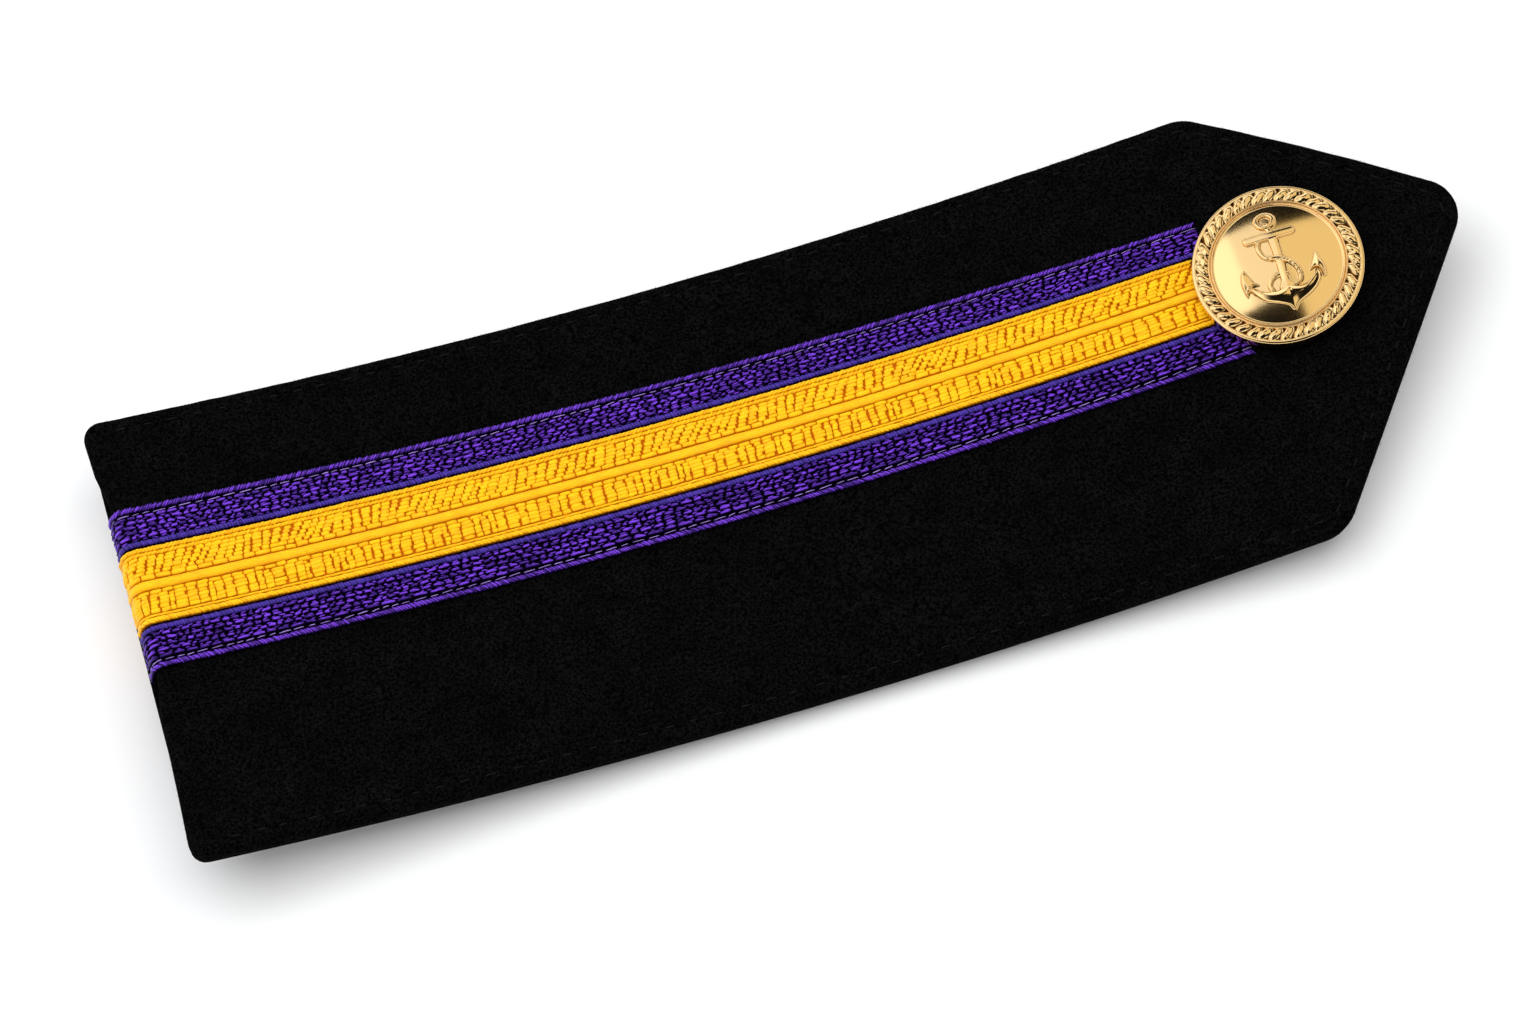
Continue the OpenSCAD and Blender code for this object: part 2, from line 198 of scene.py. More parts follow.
class StudioLook(bpy.types.PropertyGroup):
    """The camera and the light."""

    distance: length("Distance", "From the camera to what it looks at", 672.28)
    lens: FloatProperty(name="Lens", description="Focal length in mm", default=142.24, min=1)
    elevation: FloatProperty(
        name="Elevation",
        description="Camera's height above the horizon",
        default=math.radians(65.5),
        subtype="ANGLE",
    )
    azimuth: FloatProperty(
        name="Azimuth",
        description="Camera's turn about the vertical",
        default=math.radians(-18.28),
        subtype="ANGLE",
    )
    softbox: FloatProperty(name="Softbox", description="Glow of the main soft light", default=1.1)
    key: FloatProperty(name="Key", description="Glow of the light above", default=2.1)
    card: FloatProperty(name="Cards", description="Glow of the cards at the sides", default=1.25)
    horizon: FloatProperty(name="Horizon", description="Glow low round the board", default=1.4)
    zenith: FloatProperty(name="Zenith", description="Glow of the ceiling", default=0.01)
    paper: colour("Paper", "Colour of the floor", "#f6f6f6")


class BoardLook(bpy.types.PropertyGroup):
    """All that a user may change."""

    cloth: PointerProperty(type=ClothLook)
    braid: PointerProperty(type=BraidLook)
    button: PointerProperty(type=ButtonLook)
    studio: PointerProperty(type=StudioLook)


def mix(a, b, t):
    """The value at share t of the way from a to b."""
    return a + (b - a) * t


def smooth(t):
    """A soft step from 0 to 1."""
    t = np.clip(t, 0, 1)
    return t * t * (3 - 2 * t)


# A ripple is a sum of this many waves, which seldom add up to more than this
WAVES, WAVES_PEAK = 6, 3.2


def ripple(x, y, size, seed):
    """An uneven wave, seldom beyond -1 or 1, whose hills are about size wide."""
    rng = np.random.default_rng(seed)
    turns, phases = rng.uniform(0, math.pi, WAVES), rng.uniform(0, 2 * math.pi, WAVES)
    total = np.zeros(np.broadcast(x, y).shape)
    for turn, phase, scale in zip(turns, phases, rng.uniform(0.6, 1.6, WAVES)):
        wave = 2 * math.pi / (size * scale)
        total = total + np.sin((x * math.cos(turn) + y * math.sin(turn)) * wave + phase)
    return total / WAVES_PEAK


class Form:
    """Gathers points and faces, and makes one mesh object of them."""

    def __init__(self):
        self.points, self.tones, self.total = [], [], 0
        self.corners, self.sizes, self.uvs, self.kinds = [], [], [], []

    def put(self, points, tone=0.5):
        """Adds points (n, 3) with a tone each, and returns the number of the first."""
        points = np.asarray(points, float).reshape(-1, 3)
        first = self.total
        self.points.append(points)
        self.tones.append(np.broadcast_to(np.asarray(tone, float).ravel(), len(points)))
        self.total += len(points)
        return first

    def face(self, faces, uvs=None, kind=0):
        """Adds faces (m, sides) by their points' numbers; uvs is (m, sides, 2), and kind is
        the place of their material in the list that make is given."""
        faces = np.asarray(faces, int)
        self.corners.append(faces.ravel())
        self.sizes.append(np.full(len(faces), faces.shape[1]))
        self.kinds.append(np.full(len(faces), kind))
        self.uvs.append(np.zeros((faces.size, 2)) if uvs is None else uvs.reshape(-1, 2))

    def make(self, name, materials, slot, *replaced):
        """Makes the mesh object, which rides on the part and may stand for its solids."""
        corners, sizes = np.concatenate(self.corners), np.concatenate(self.sizes)
        points = np.concatenate(self.points)
        mesh = bpy.data.meshes.new(name)
        mesh.vertices.add(len(points))
        mesh.vertices.foreach_set("co", points.ravel())
        mesh.loops.add(len(corners))
        mesh.loops.foreach_set("vertex_index", corners.astype(np.int32))
        mesh.polygons.add(len(sizes))
        starts = np.concatenate([[0], np.cumsum(sizes)[:-1]])
        mesh.polygons.foreach_set("loop_start", starts.astype(np.int32))
        mesh.polygons.foreach_set("material_index", np.concatenate(self.kinds).astype(np.int32))
        mesh.polygons.foreach_set("use_smooth", np.ones(len(sizes), bool))
        layer = mesh.uv_layers.new(name="thread")
        layer.data.foreach_set("uv", np.concatenate(self.uvs).ravel())
        tone = mesh.attributes.new("tone", "FLOAT", "POINT")
        tone.data.foreach_set("value", np.concatenate(self.tones).astype(np.float32))
        mesh.update(calc_edges=True)
        if mesh.validate():
            raise RuntimeError(f"the mesh of {name} had faulty faces")
        shell = bmesh.new()
        shell.from_mesh(mesh)
        bmesh.ops.recalc_face_normals(shell, faces=shell.faces)
        shell.to_mesh(mesh)
        shell.free()
        for material in materials:
            mesh.materials.append(material)
        piece = bpy.data.objects.new(name, mesh)
        bpy.context.scene.collection.objects.link(piece)
        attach(piece, "root")
        if replaced:
            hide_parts(*replaced)
        return piece


def tube(form, rings, along, kind=0, tone=0.5, girth=1.0, twist=0.0):
    """A closed tube through rings (n, sides, 3), whose places along it are given. Its UV is
    in mm, along it and round it, where twist turns the lines round it ring by ring."""
    n, sides = rings.shape[:2]
    first = form.put(rings, tone)
    i, k = np.meshgrid(np.arange(n - 1), np.arange(sides), indexing="ij")
    a, b = i * sides + k, i * sides + (k + 1) % sides
    twist = np.broadcast_to(twist, n)
    u = np.stack([along[i], along[i + 1], along[i + 1], along[i]], -1) / MM
    turn = np.stack([k - twist[i], k - twist[i + 1], k + 1 - twist[i + 1], k + 1 - twist[i]], -1)
    quads = np.stack([a, a + sides, b + sides, b], -1).reshape(-1, 4) + first
    form.face(quads, np.stack([u, turn * girth / sides], -1).reshape(-1, 4, 2), kind)
    ends = np.array([np.arange(sides), (n * sides - 1) - np.arange(sides)]) + first
    form.face(ends, kind=kind)


# The board's outline and its bow


def hollow(y):
    """How far the square end is drawn in at a distance y from the middle line."""
    pull = np.interp(y, PULL_Y, PULL_SHARE)
    return END_HOLLOW * (1 - (2 * y / END_W) ** 2) + BRAID_PULL * pull


def follow(s):
    """How much of the square end's hollow a line across the board has at s."""
    return np.clip(1 - (s - SQUARE_S) / HOLLOW_LEN, 0, 1)


def corner(p, before, after, r, steps):
    """Points round a corner of the outline, whose inside is on the left."""
    a, b = p - before, after - p
    a, b = a / np.linalg.norm(a), b / np.linalg.norm(b)
    turn = math.atan2(a[0] * b[1] - a[1] * b[0], a @ b)
    centre = p - a * r * math.tan(turn / 2) + np.array([-a[1], a[0]]) * r
    w = math.atan2(a[1], a[0]) - math.pi / 2 + turn * np.linspace(0, 1, steps + 1)
    return centre + r * np.stack([np.cos(w), np.sin(w)], 1)


def between(a, b, steps, swell=0.0):
    """Points spread evenly between two outline points, without those two."""
    t = (np.arange(steps) + 1)[:, None] / (steps + 1)
    out = np.array([(b - a)[1], -(b - a)[0]]) / np.linalg.norm(b - a)
    return mix(a, b, t) + out * swell * 4 * t * (1 - t)


CORNERS = np.array(
    [
        [SQUARE_S - END_SKEW / 2, -END_W / 2],
        [SHOULDER_S, -SHOULDER_W / 2],
        [TIP_S + TIP_REACH, TIP_OFF],
        [SHOULDER_S, SHOULDER_W / 2],
        [SQUARE_S + END_SKEW / 2, END_W / 2],
    ]
)
CORNER_R = (END_CORNER_R, SHOULDER_R, TIP_R, SHOULDER_R, END_CORNER_R)
LEAST_R = 0.15 * MM


def inset_corners(d):
    """The outline's corners, with every side moved in by d."""
    sides = np.roll(CORNERS, -1, 0) - CORNERS
    n = np.stack([-sides[:, 1], sides[:, 0]], 1) / np.linalg.norm(sides, axis=1)[:, None]
    moved = []
    for i in range(len(CORNERS)):
        lines = np.array([n[i - 1], n[i]])
        moved.append(np.linalg.solve(lines, (lines * CORNERS[i]).sum(1) + d))
    return np.array(moved)


def outline(d, side_steps, slant_steps, turn_steps, columns):
    """The outline moved in by d: its near side and its far side, matched point by point
    from the square end to the tip, the line round the tip and the square end's line."""
    near_end, near_shoulder, tip, far_shoulder, far_end = inset_corners(d)
    r = [max(x - d, LEAST_R) for x in CORNER_R]
    a = corner(near_end, far_end, near_shoulder, r[0], turn_steps)
    b = corner(near_shoulder, near_end, tip, r[1], turn_steps)
    c = corner(tip, near_shoulder, far_shoulder, r[2], columns)
    e = corner(far_shoulder, tip, far_end, r[3], turn_steps)[::-1]
    f = corner(far_end, far_shoulder, near_end, r[4], turn_steps)[::-1]
    near = [a, between(a[-1], b[0], side_steps), b, between(b[-1], c[0], slant_steps), c[:1]]
    slant = between(e[-1], c[-1], slant_steps, -POINT_SWELL)
    far = [f, between(f[-1], e[0], side_steps), e, slant, c[-1:]]
    near, far = np.concatenate(near), np.concatenate(far)
    return near, far, c, mix(near[0], far[0], np.linspace(0, 1, columns + 1)[:, None])


def loop_round(d, side_steps, slant_steps, turn_steps, columns):
    """The outline moved in by d, as one loop: near side, tip, far side, square end."""
    near, far, tip, end = outline(d, side_steps, slant_steps, turn_steps, columns)
    return np.concatenate([near, tip[1:-1], far[::-1], end[-2:0:-1]])


# The origin is under the middle of the board, so the bow is laid from the solid's box
WIDEST_H = BACKING_T + SEAT_GAP + COVER_T / 2
FIRST_S = corner(CORNERS[0], CORNERS[4], CORNERS[1], END_CORNER_R, 8)[:, 0].min()
MID_X = (BOW_R - WIDEST_H) * math.sin(FIRST_S / BOW_R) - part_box("cloth_cover")[0].x


def bend(s, y, h):
    """Lays flat points at s, y and height h on the bow."""
    s, y, h = np.broadcast_arrays(s, y, h)
    turn = s / BOW_R
    return np.stack([(BOW_R - h) * np.sin(turn) - MID_X, y, BOW_R - (BOW_R - h) * np.cos(turn)], -1)


def lay_flat(points, h):
    """Lays outline points on the bow at height h, which may be a function of them. They are
    drawn in near the square end."""
    s, y = points[..., 0], points[..., 1]
    return bend(s + hollow(y) * follow(s), y, h(points) if callable(h) else h)


def on_board(s, y):
    """The place and turn of something set flat on the cloth at s, y."""
    place = Vector(bend(s, y, BOARD_T))
    return Matrix.Translation(place) @ Matrix.Rotation(-s / BOW_R, 4, "Y")


def move(points, matrix):
    """Moves points by a matrix."""
    m = np.array(matrix)
    return points @ m[:3, :3].T + m[:3, 3]


def roll(r, centre, first, last, steps):
    """Loops round an edge that is rolled from one angle to another, in degrees: how far
    each is drawn in, and its height. centre is the height of the roll's middle."""
    turn = np.radians(np.linspace(first, last, steps))
    return [(r * (1 - math.cos(w)), centre + r * math.sin(w)) for w in turn]


def slab(form, profile, steps):
    """A bowed slab of the board's outline. profile goes over its edge from the top face to
    the underside: how far each loop is drawn in, and its height. The face inside the first
    loop has that loop's height."""
    columns = steps[-1]
    loops = [loop_round(d, *steps) for d, _ in profile]
    n = len(loops[0])
    first = form.total
    for loop, (_, h) in zip(loops, profile):
        form.put(lay_flat(loop, h))
    k, i = np.meshgrid(np.arange(len(profile) - 1), np.arange(n), indexing="ij")
    a, b = k * n + i, k * n + (i + 1) % n
    form.face(np.stack([a, a + n, b + n, b], -1).reshape(-1, 4) + first)
    # The top face is a grid from the near side to the far side, inside the first loop
    inset, top = profile[0]
    near, far, _, _ = outline(inset, *steps)
    last = len(near) - 1
    t = np.linspace(0, 1, columns + 1)[1:-1]
    grid = mix(near[1:-1, None], far[1:-1, None], t[None, :, None])
    inner = form.put(lay_flat(grid, top))
    number = np.zeros((last + 1, columns + 1), int)
    number[:, 0] = np.arange(last + 1)
    number[last, :] = last + np.arange(columns + 1)
    number[:, columns] = 2 * last + columns - np.arange(last + 1)
    number[0, 1:columns] = n - np.arange(1, columns)
    number += first
    number[1:last, 1:columns] = inner + np.arange(grid[..., 0].size).reshape(last - 1, columns - 1)
    q = [number[:-1, :-1], number[1:, :-1], number[1:, 1:], number[:-1, 1:]]
    form.face(np.stack(q, -1).reshape(-1, 4))
    # The underside needs no grid: its faces reach straight across inside the last loop
    under = first + (len(profile) - 1) * n
    row = np.arange(last)
    across = [under + row, under + 2 * last + columns - row]
    form.face(np.stack([across[0], across[1], across[1] - 1, across[0] + 1], -1))
    tip = under + np.arange(last, last + columns + 1)
    end = np.concatenate([[under], under + np.arange(2 * last + columns, n)])
    form.face([tip[::-1]])
    form.face([end[::-1]])


def bore(piece):
    """Cuts the post's hole through a piece."""
    sides, reach = 48, 2 * BOARD_T
    w = np.arange(sides) * 2 * math.pi / sides
    ring = HOLE_R * np.stack([np.cos(w), np.sin(w)], 1)
    drill = bpy.data.meshes.new("drill")
    ends = [np.column_stack([ring, np.full(sides, z)]) for z in (-reach, reach)]
    points = move(np.concatenate(ends), on_board(BUTTON_S, BUTTON_Y))
    k = np.arange(sides)
    walls = np.stack([k, (k + 1) % sides, (k + 1) % sides + sides, k + sides], -1).tolist()
    caps = [k[::-1].tolist(), (k + sides).tolist()]
    drill.from_pydata(points.tolist(), [], walls + caps)
    tool = bpy.data.objects.new("drill", drill)
    bpy.context.scene.collection.objects.link(tool)
    cut = piece.modifiers.new("post hole", "BOOLEAN")
    cut.operation = "DIFFERENCE"
    cut.solver = "EXACT"
    cut.object = tool
    graph = bpy.context.evaluated_depsgraph_get()
    result = bpy.data.meshes.new_from_object(piece.evaluated_get(graph))
    piece.modifiers.clear()
    old, piece.data = piece.data, result
    bpy.data.objects.remove(tool)
    bpy.data.meshes.remove(drill)
    bpy.data.meshes.remove(old)


# Materials


def add(tree, kind, inputs=None, **settings):
    """Adds a node with its settings and links. An input is a value, or a socket to link
    from."""
    node = tree.nodes.new(kind)
    for name, value in settings.items():
        setattr(node, name, value)
    for name, value in (inputs or {}).items():
        if isinstance(value, bpy.types.NodeSocket):
            tree.links.new(value, node.inputs[name])
        else:
            node.inputs[name].default_value = value
    return node


def finish_material(name, build):
    """A new material whose surface is the shader that build makes in its tree."""
    material = bpy.data.materials.new(name)
    material.use_nodes = True
    tree = material.node_tree
    tree.nodes.clear()
    shader = build(tree)
    add(tree, "ShaderNodeOutputMaterial", {"Surface": shader.outputs[0]})
    return material


# The sockets of a Mix node that mixes two colours
MIX_SHARE, MIX_FROM, MIX_TO, MIX_COLOUR = 0, 6, 7, 2


def wool(name, base, light, tuft):
    """Milled wool cloth: a short, dull nap of crossed fibres that hides the weave. It gives
    a deep black with faint grey flecks, and no gloss. A fleck is a tuft of fibres, because
    single ones are too fine to show, and the tufts are clearer in some patches."""

    def build(tree):
        place = add(tree, "ShaderNodeTexCoord").outputs["Object"]
        tufts = {"Vector": place, "Scale": 1 / tuft, "Detail": 2.0, "Roughness": 0.6}
        flecks = add(tree, "ShaderNodeTexNoise", tufts).outputs["Fac"]
        patches = {"Vector": place, "Scale": 1 / (12 * tuft), "Detail": 3.0, "Roughness": 0.6}
        clouds = add(tree, "ShaderNodeTexNoise", patches).outputs["Fac"]
        clear = {"Value": flecks, "From Min": 0.38, "From Max": 0.68}
        faded = {"Value": clouds, "From Min": 0.3, "From Max": 0.7, "To Min": 0.5}
        factors = {
            0: add(tree, "ShaderNodeMapRange", clear).outputs["Result"],
            1: add(tree, "ShaderNodeMapRange", faded).outputs["Result"],
        }
        shown = add(tree, "ShaderNodeMath", factors, operation="MULTIPLY").outputs[0]
        tint = {MIX_SHARE: shown, MIX_FROM: base, MIX_TO: light}
        relief = {"Height": flecks, "Strength": 0.8, "Distance": 0.15 * MM}
        return add(
            tree,
            "ShaderNodeBsdfPrincipled",
            {
                "Base Color": add(tree, "ShaderNodeMix", tint, data_type="RGBA").outputs[MIX_COLOUR],
                "Roughness": 0.95,
                "Specular IOR Level": 0.008,
                "Normal": add(tree, "ShaderNodeBump", relief).outputs["Normal"],
            },
        )

    return finish_material(name, build)


# Rayon filaments are far finer than this, but a picture of the whole board can't show them
FILAMENT, FILAMENT_RUN = 0.09, 0.9


def rayon(name, deep, lit, roughness=0.36, gloss=0.4, painted_highlight_narrowing=1.0):
    """Bright rayon yarn: many smooth filaments side by side. Each thread has fine lines
    along it and a soft silky gloss. Its colour is a painted highlight on its crest that
    gives way to painted shade down its sides; a greater painted_highlight_narrowing keeps
    the painted highlight closer to the crest. The UV is in mm along the thread and round it."""

    def build(tree):
        tone = add(tree, "ShaderNodeAttribute", attribute_name="tone").outputs["Fac"]
        thread = add(tree, "ShaderNodeUVMap", uv_map="thread").outputs["UV"]
        lengthwise = {"Vector": thread, "Scale": (1 / FILAMENT_RUN, 1 / FILAMENT, 1)}
        place = add(tree, "ShaderNodeMapping", lengthwise).outputs["Vector"]
        filaments = {"Vector": place, "Scale": 1.0, "Detail": 2.0}
        lines = add(tree, "ShaderNodeTexNoise", filaments).outputs["Fac"]
        change = {"Value": lines, "From Min": 0.3, "From Max": 0.7, "To Min": -0.25, "To Max": 0.25}
        lined = {0: add(tree, "ShaderNodeMapRange", change).outputs["Result"], 1: tone}
        shade = add(tree, "ShaderNodeMath", lined, operation="ADD", use_clamp=True).outputs[0]
        narrowed = {0: shade, 1: painted_highlight_narrowing}
        shade = add(tree, "ShaderNodeMath", narrowed, operation="POWER").outputs[0]
        # Mixes the painted shade of the sides into the painted highlight of the crest
        tint = {MIX_SHARE: shade, MIX_FROM: deep, MIX_TO: lit}
        relief = {"Height": lines, "Strength": 0.7, "Distance": 0.06 * MM}
        return add(
            tree,
            "ShaderNodeBsdfPrincipled",
            {
                "Base Color": add(tree, "ShaderNodeMix", tint, data_type="RGBA").outputs[MIX_COLOUR],
                "Roughness": roughness,
                "IOR": 1.53,
                "Specular IOR Level": gloss,
                "Normal": add(tree, "ShaderNodeBump", relief).outputs["Normal"],
            },
        )

    return finish_material(name, build)


def spun_thread(name, tint):
    """Spun yarn or a loose wool fibre: thin and dull, with only a trace of shine. Its lobes
    are really finer, and are as coarse here as they need to be to show."""

    def build(tree):
        place = add(tree, "ShaderNodeTexCoord").outputs["Object"]
        twist = {"Vector": place, "Scale": 1 / (0.25 * MM), "Detail": 2.0, "Roughness": 0.6}
        lobes = add(tree, "ShaderNodeTexNoise", twist).outputs["Fac"]
        relief = {"Height": lobes, "Strength": 0.5, "Distance": 0.03 * MM}
        return add(
            tree,
            "ShaderNodeBsdfPrincipled",
            {
                "Base Color": tint,
                "Roughness": 0.6,
                "IOR": 1.53,
                "Specular IOR Level": 0.05,
                "Normal": add(tree, "ShaderNodeBump", relief).outputs["Normal"],
            },
        )

    return finish_material(name, build)


def gilt_brass(look):
    """Die-stamped brass, gilded, polished and lacquered: bright and clean on the face and
    the ridges, dark brown in the hollows with tarnish and painted shade, and with pale
    highlights from the clear lacquer. Real polishing marks are finer than its grain."""

    def build(tree):
        deep = add(tree, "ShaderNodeAttribute", attribute_name="tone").outputs["Fac"]
        place = add(tree, "ShaderNodeTexCoord").outputs["Object"]
        touched = {"Vector": place, "Scale": 1 / (3 * MM), "Detail": 3.0, "Roughness": 0.6}
        smudges = add(tree, "ShaderNodeTexNoise", touched).outputs["Fac"]
        polish = {"Vector": place, "Scale": 1 / (0.12 * MM), "Detail": 2.0, "Roughness": 0.6}
        grain = add(tree, "ShaderNodeTexNoise", polish).outputs["Fac"]
        # The tone darkens the hollows with tarnish and painted shade, and takes off their lacquer
        tint = {MIX_SHARE: deep, MIX_FROM: look.gilt, MIX_TO: look.worn}
        dull = {
            "Value": smudges, "From Min": 0.3, "From Max": 0.7, "To Min": 0.08, "To Max": 0.12,
        }
        lacquer = {"Value": deep, "From Min": 0, "From Max": 0.5, "To Min": 1, "To Max": 0}
        relief = {"Height": grain, "Strength": 0.12, "Distance": 0.01 * MM}
        return add(
            tree,
            "ShaderNodeBsdfPrincipled",
            {
                "Base Color": add(tree, "ShaderNodeMix", tint, data_type="RGBA").outputs[MIX_COLOUR],
                "Metallic": 1.0,
                "Roughness": add(tree, "ShaderNodeMapRange", dull).outputs["Result"],
                "Coat Weight": add(tree, "ShaderNodeMapRange", lacquer).outputs["Result"],
                "Coat Roughness": 0.09,
                "Coat IOR": 1.9,
                "Normal": add(tree, "ShaderNodeBump", relief).outputs["Normal"],
            },
        )

    return finish_material("gilt brass", build)


def plain_brass(look):
    """Turned brass left as it came from the lathe: satin, with fine rings."""

    def build(tree):
        middle = add(tree, "ShaderNodeTexCoord").outputs["Object"]
        flat = {"Vector": middle, "Scale": (1, 1, 6)}
        place = add(tree, "ShaderNodeMapping", flat).outputs["Vector"]
        cut = {"Vector": place, "Scale": 1 / (0.3 * MM), "Detail": 2.0, "Roughness": 0.6}
        rings = add(tree, "ShaderNodeTexNoise", cut).outputs["Fac"]
        dull = {"Value": rings, "From Min": 0.3, "From Max": 0.7, "To Min": 0.28, "To Max": 0.42}
        relief = {"Height": rings, "Strength": 0.3, "Distance": 0.02 * MM}
        return add(
            tree,
            "ShaderNodeBsdfPrincipled",
            {
                "Base Color": look.brass,
                "Metallic": 1.0,
                "Roughness": add(tree, "ShaderNodeMapRange", dull).outputs["Result"],
                "Normal": add(tree, "ShaderNodeBump", relief).outputs["Normal"],
            },
        )

    return finish_material("plain brass", build)


def matt_paper(tint):
    """Matt white background paper: no gloss, and its fibre is too fine to show."""

    def build(tree):
        return add(
            tree,
            "ShaderNodeBsdfPrincipled",
            {"Base Color": tint, "Roughness": 1.0, "Specular IOR Level": 0.0},
        )

    return finish_material("background paper", build)


# Cloth

# Points of the outline: along a side, along a slant, round a corner and across
COVER_STEPS = (220, 46, 6, 60)
BACKING_STEPS = (60, 14, 5, 20)
# Loops on the cover's top, close together where the stitches' groove is
FLAT_INSETS = np.array([3.0, 2.7, 2.45, 2.25, 2.1, 1.95, 1.8, 1.65, 1.5, 1.35, 1.22]) * MM
GROOVE_HALF = 0.35 * MM
# The cloth's low swells: their height and width, all over and in the fold at the edge
SWELL_H, SWELL_W = 0.03 * MM, 14 * MM
FOLD_H, FOLD_W = 0.05 * MM, 4 * MM
FOLD_FROM, FOLD_REACH = 0.5 * MM, 2.5 * MM


def groove(look, d):
    """How far the line of stitches pulls the cloth in at a distance d from the edge."""
    return look.groove * np.exp(-(((d - look.stitch_inset) / GROOVE_HALF) ** 2))


def cloth_rise(points, d):
    """The soft unevenness of the cloth, fuller near the edge where it is folded."""
    s, y = points[..., 0], points[..., 1]
    edge = 1 - smooth((d - FOLD_FROM) / FOLD_REACH)
    return SWELL_H * ripple(s, y, SWELL_W, 3) + edge * FOLD_H * ripple(s, y, FOLD_W, 4)


class BOARD_OT_cover(bpy.types.Operator):
    """Makes the doeskin cover with its rolled edge and the groove of its stitches"""

    bl_idname = "shoulder_board.cover"
    bl_label = "Doeskin cover"

    def execute(self, context):
        look = context.scene.shoulder_board.cloth

        def height(d, h):
            return lambda points: h - groove(look, d) + cloth_rise(points, d)

        profile = [(d, height(d, BOARD_T)) for d in FLAT_INSETS]
        profile += [(d, height(d, h)) for d, h in roll(COVER_ROLL, BOARD_T - COVER_ROLL, 90, 0, 8)]
        profile += roll(COVER_ROLL, BACKING_T + SEAT_GAP + COVER_ROLL, 0, -90, 6)
        form = Form()
        slab(form, profile, COVER_STEPS)
        cloth = wool("black doeskin", look.doeskin, look.fleck, 0.3 * MM)
        piece = form.make("doeskin_cover", [cloth], "black_doeskin", "cloth_cover")
        bore(piece)
        return {"FINISHED"}


class BOARD_OT_backing(bpy.types.Operator):
    """Makes the felt backing under the cover"""

    bl_idname = "shoulder_board.backing"
    bl_label = "Felt backing"

    def execute(self, context):
        look = context.scene.shoulder_board.cloth
        edge = roll(BACKING_ROLL, BACKING_T - BACKING_ROLL, 90, 0, 5)
        edge += roll(BACKING_ROLL, BACKING_ROLL, 0, -90, 5)
        form = Form()
        slab(form, [(BACKING_INSET + d, h) for d, h in edge], BACKING_STEPS)
        cloth = wool("black felt", look.felt, look.fleck, 0.4 * MM)
        piece = form.make("felt_backing", [cloth], "black_felt", "backing_cloth")
        bore(piece)
        return {"FINISHED"}


# How far along_loop looks ahead for the direction
LOOK_AHEAD = 0.1 * MM


def along_loop(points, places):
    """Points at given distances along a closed loop, the direction there, and the length
    of the loop. The places stay more than LOOK_AHEAD before its end."""
    closed = np.concatenate([points, points[:1]])
    run = np.concatenate([[0], np.cumsum(np.linalg.norm(np.diff(closed, axis=0), axis=1))])
    at = np.stack([np.interp(places, run, closed[:, i]) for i in (0, 1)], -1)
    ahead = np.stack([np.interp(places + LOOK_AHEAD, run, closed[:, i]) for i in (0, 1)], -1)
    step = ahead - at
    return at, step / np.linalg.norm(step, axis=-1, keepdims=True), run[-1]


def under_braid(points):
    """Which points of the cloth the braid covers, with a little beside it."""
    s, y = points[..., 0], points[..., 1]
    beside = 0.3 * MM
    wide = (y > LOWER_EDGE.min() - beside) & (y < UPPER_EDGE.max() + beside)
    return wide & (s < BUTTON_S)


# A stitch's greatest slip along the line and its share of the set length; how far its ends
# and its middle lie over the groove's bottom, and how thin its ends are
STITCH_SLIP, STITCH_SHARE = 0.15 * MM, (0.8, 1.15)
STITCH_DIP, STITCH_RISE, STITCH_END = -0.12 * MM, 0.02 * MM, 0.6
# The square end has no line of stitches, so none comes this near to it
END_CLEAR = 3 * MM


class BOARD_OT_stitches(bpy.types.Operator):
    """Sews the line of stitches round the edge"""

    bl_idname = "shoulder_board.stitches"
    bl_label = "Edge stitches"

    def execute(self, context):
        look = context.scene.shoulder_board.cloth
        rng = np.random.default_rng(21)
        loop = loop_round(look.stitch_inset, *COVER_STEPS)
        total = along_loop(loop, np.zeros(1))[2]
        amount = int(total / look.stitch_pitch)
        slips = rng.uniform(-STITCH_SLIP, STITCH_SLIP, amount)
        starts = np.arange(amount) * total / amount + slips
        lengths = look.stitch_len * rng.uniform(*STITCH_SHARE, amount)
        t = np.linspace(0, 1, 7)
        swing = np.radians(np.arange(6) * 60 + 30)
        form = Form()
        for start, size in zip(starts, lengths):
            at, ahead, _ = along_loop(loop, np.clip(start + t * size, 0, total - 2 * LOOK_AHEAD))
            if at[:, 0].min() < SQUARE_S + END_CLEAR:
                continue
            side = np.stack([-ahead[:, 1], ahead[:, 0]], -1)
            arch = np.sqrt(np.clip(1 - (2 * t - 1) ** 2, 0, 1))
            h = BOARD_T - look.groove + mix(STITCH_DIP, STITCH_RISE, arch)
            r = look.stitch_r * mix(STITCH_END, 1.0, arch)
            ring = at[:, None] - side[:, None] * (r[:, None] * np.cos(swing))[..., None]
            height = h[:, None] + r[:, None] * np.sin(swing)
            tube(form, lay_flat(ring, height), start + t * size)
        thread = spun_thread("black sewing thread", look.thread)
        form.make("edge_stitches", [thread], "black_doeskin")
        return {"FINISHED"}


def spindles(form, roots, mids, tips, width):
    """Bent fibres, each a thin closed spindle from its root over its middle to its tip."""
    axis = tips - roots
    axis /= np.linalg.norm(axis, axis=1)[:, None]
    # An upright fibre still needs a side
    side = np.cross(axis, [0, 0, 1.0]) + 1e-9
    side /= np.linalg.norm(side, axis=1)[:, None]
    up = np.cross(side, axis)
    ring = []
    for w in np.radians([90, 210, 330]):
        ring.append(mids + (side * math.cos(w) + up * math.sin(w)) * width[:, None] / 2)
    points = np.stack([roots, *ring, tips], 1)
    base = form.put(points) + 5 * np.arange(len(roots))[:, None]
    faces = np.array([[0, 2, 1], [0, 3, 2], [0, 1, 3], [4, 1, 2], [4, 2, 3], [4, 3, 1]])
    form.face((base[:, None] + faces[None]).reshape(-1, 3))


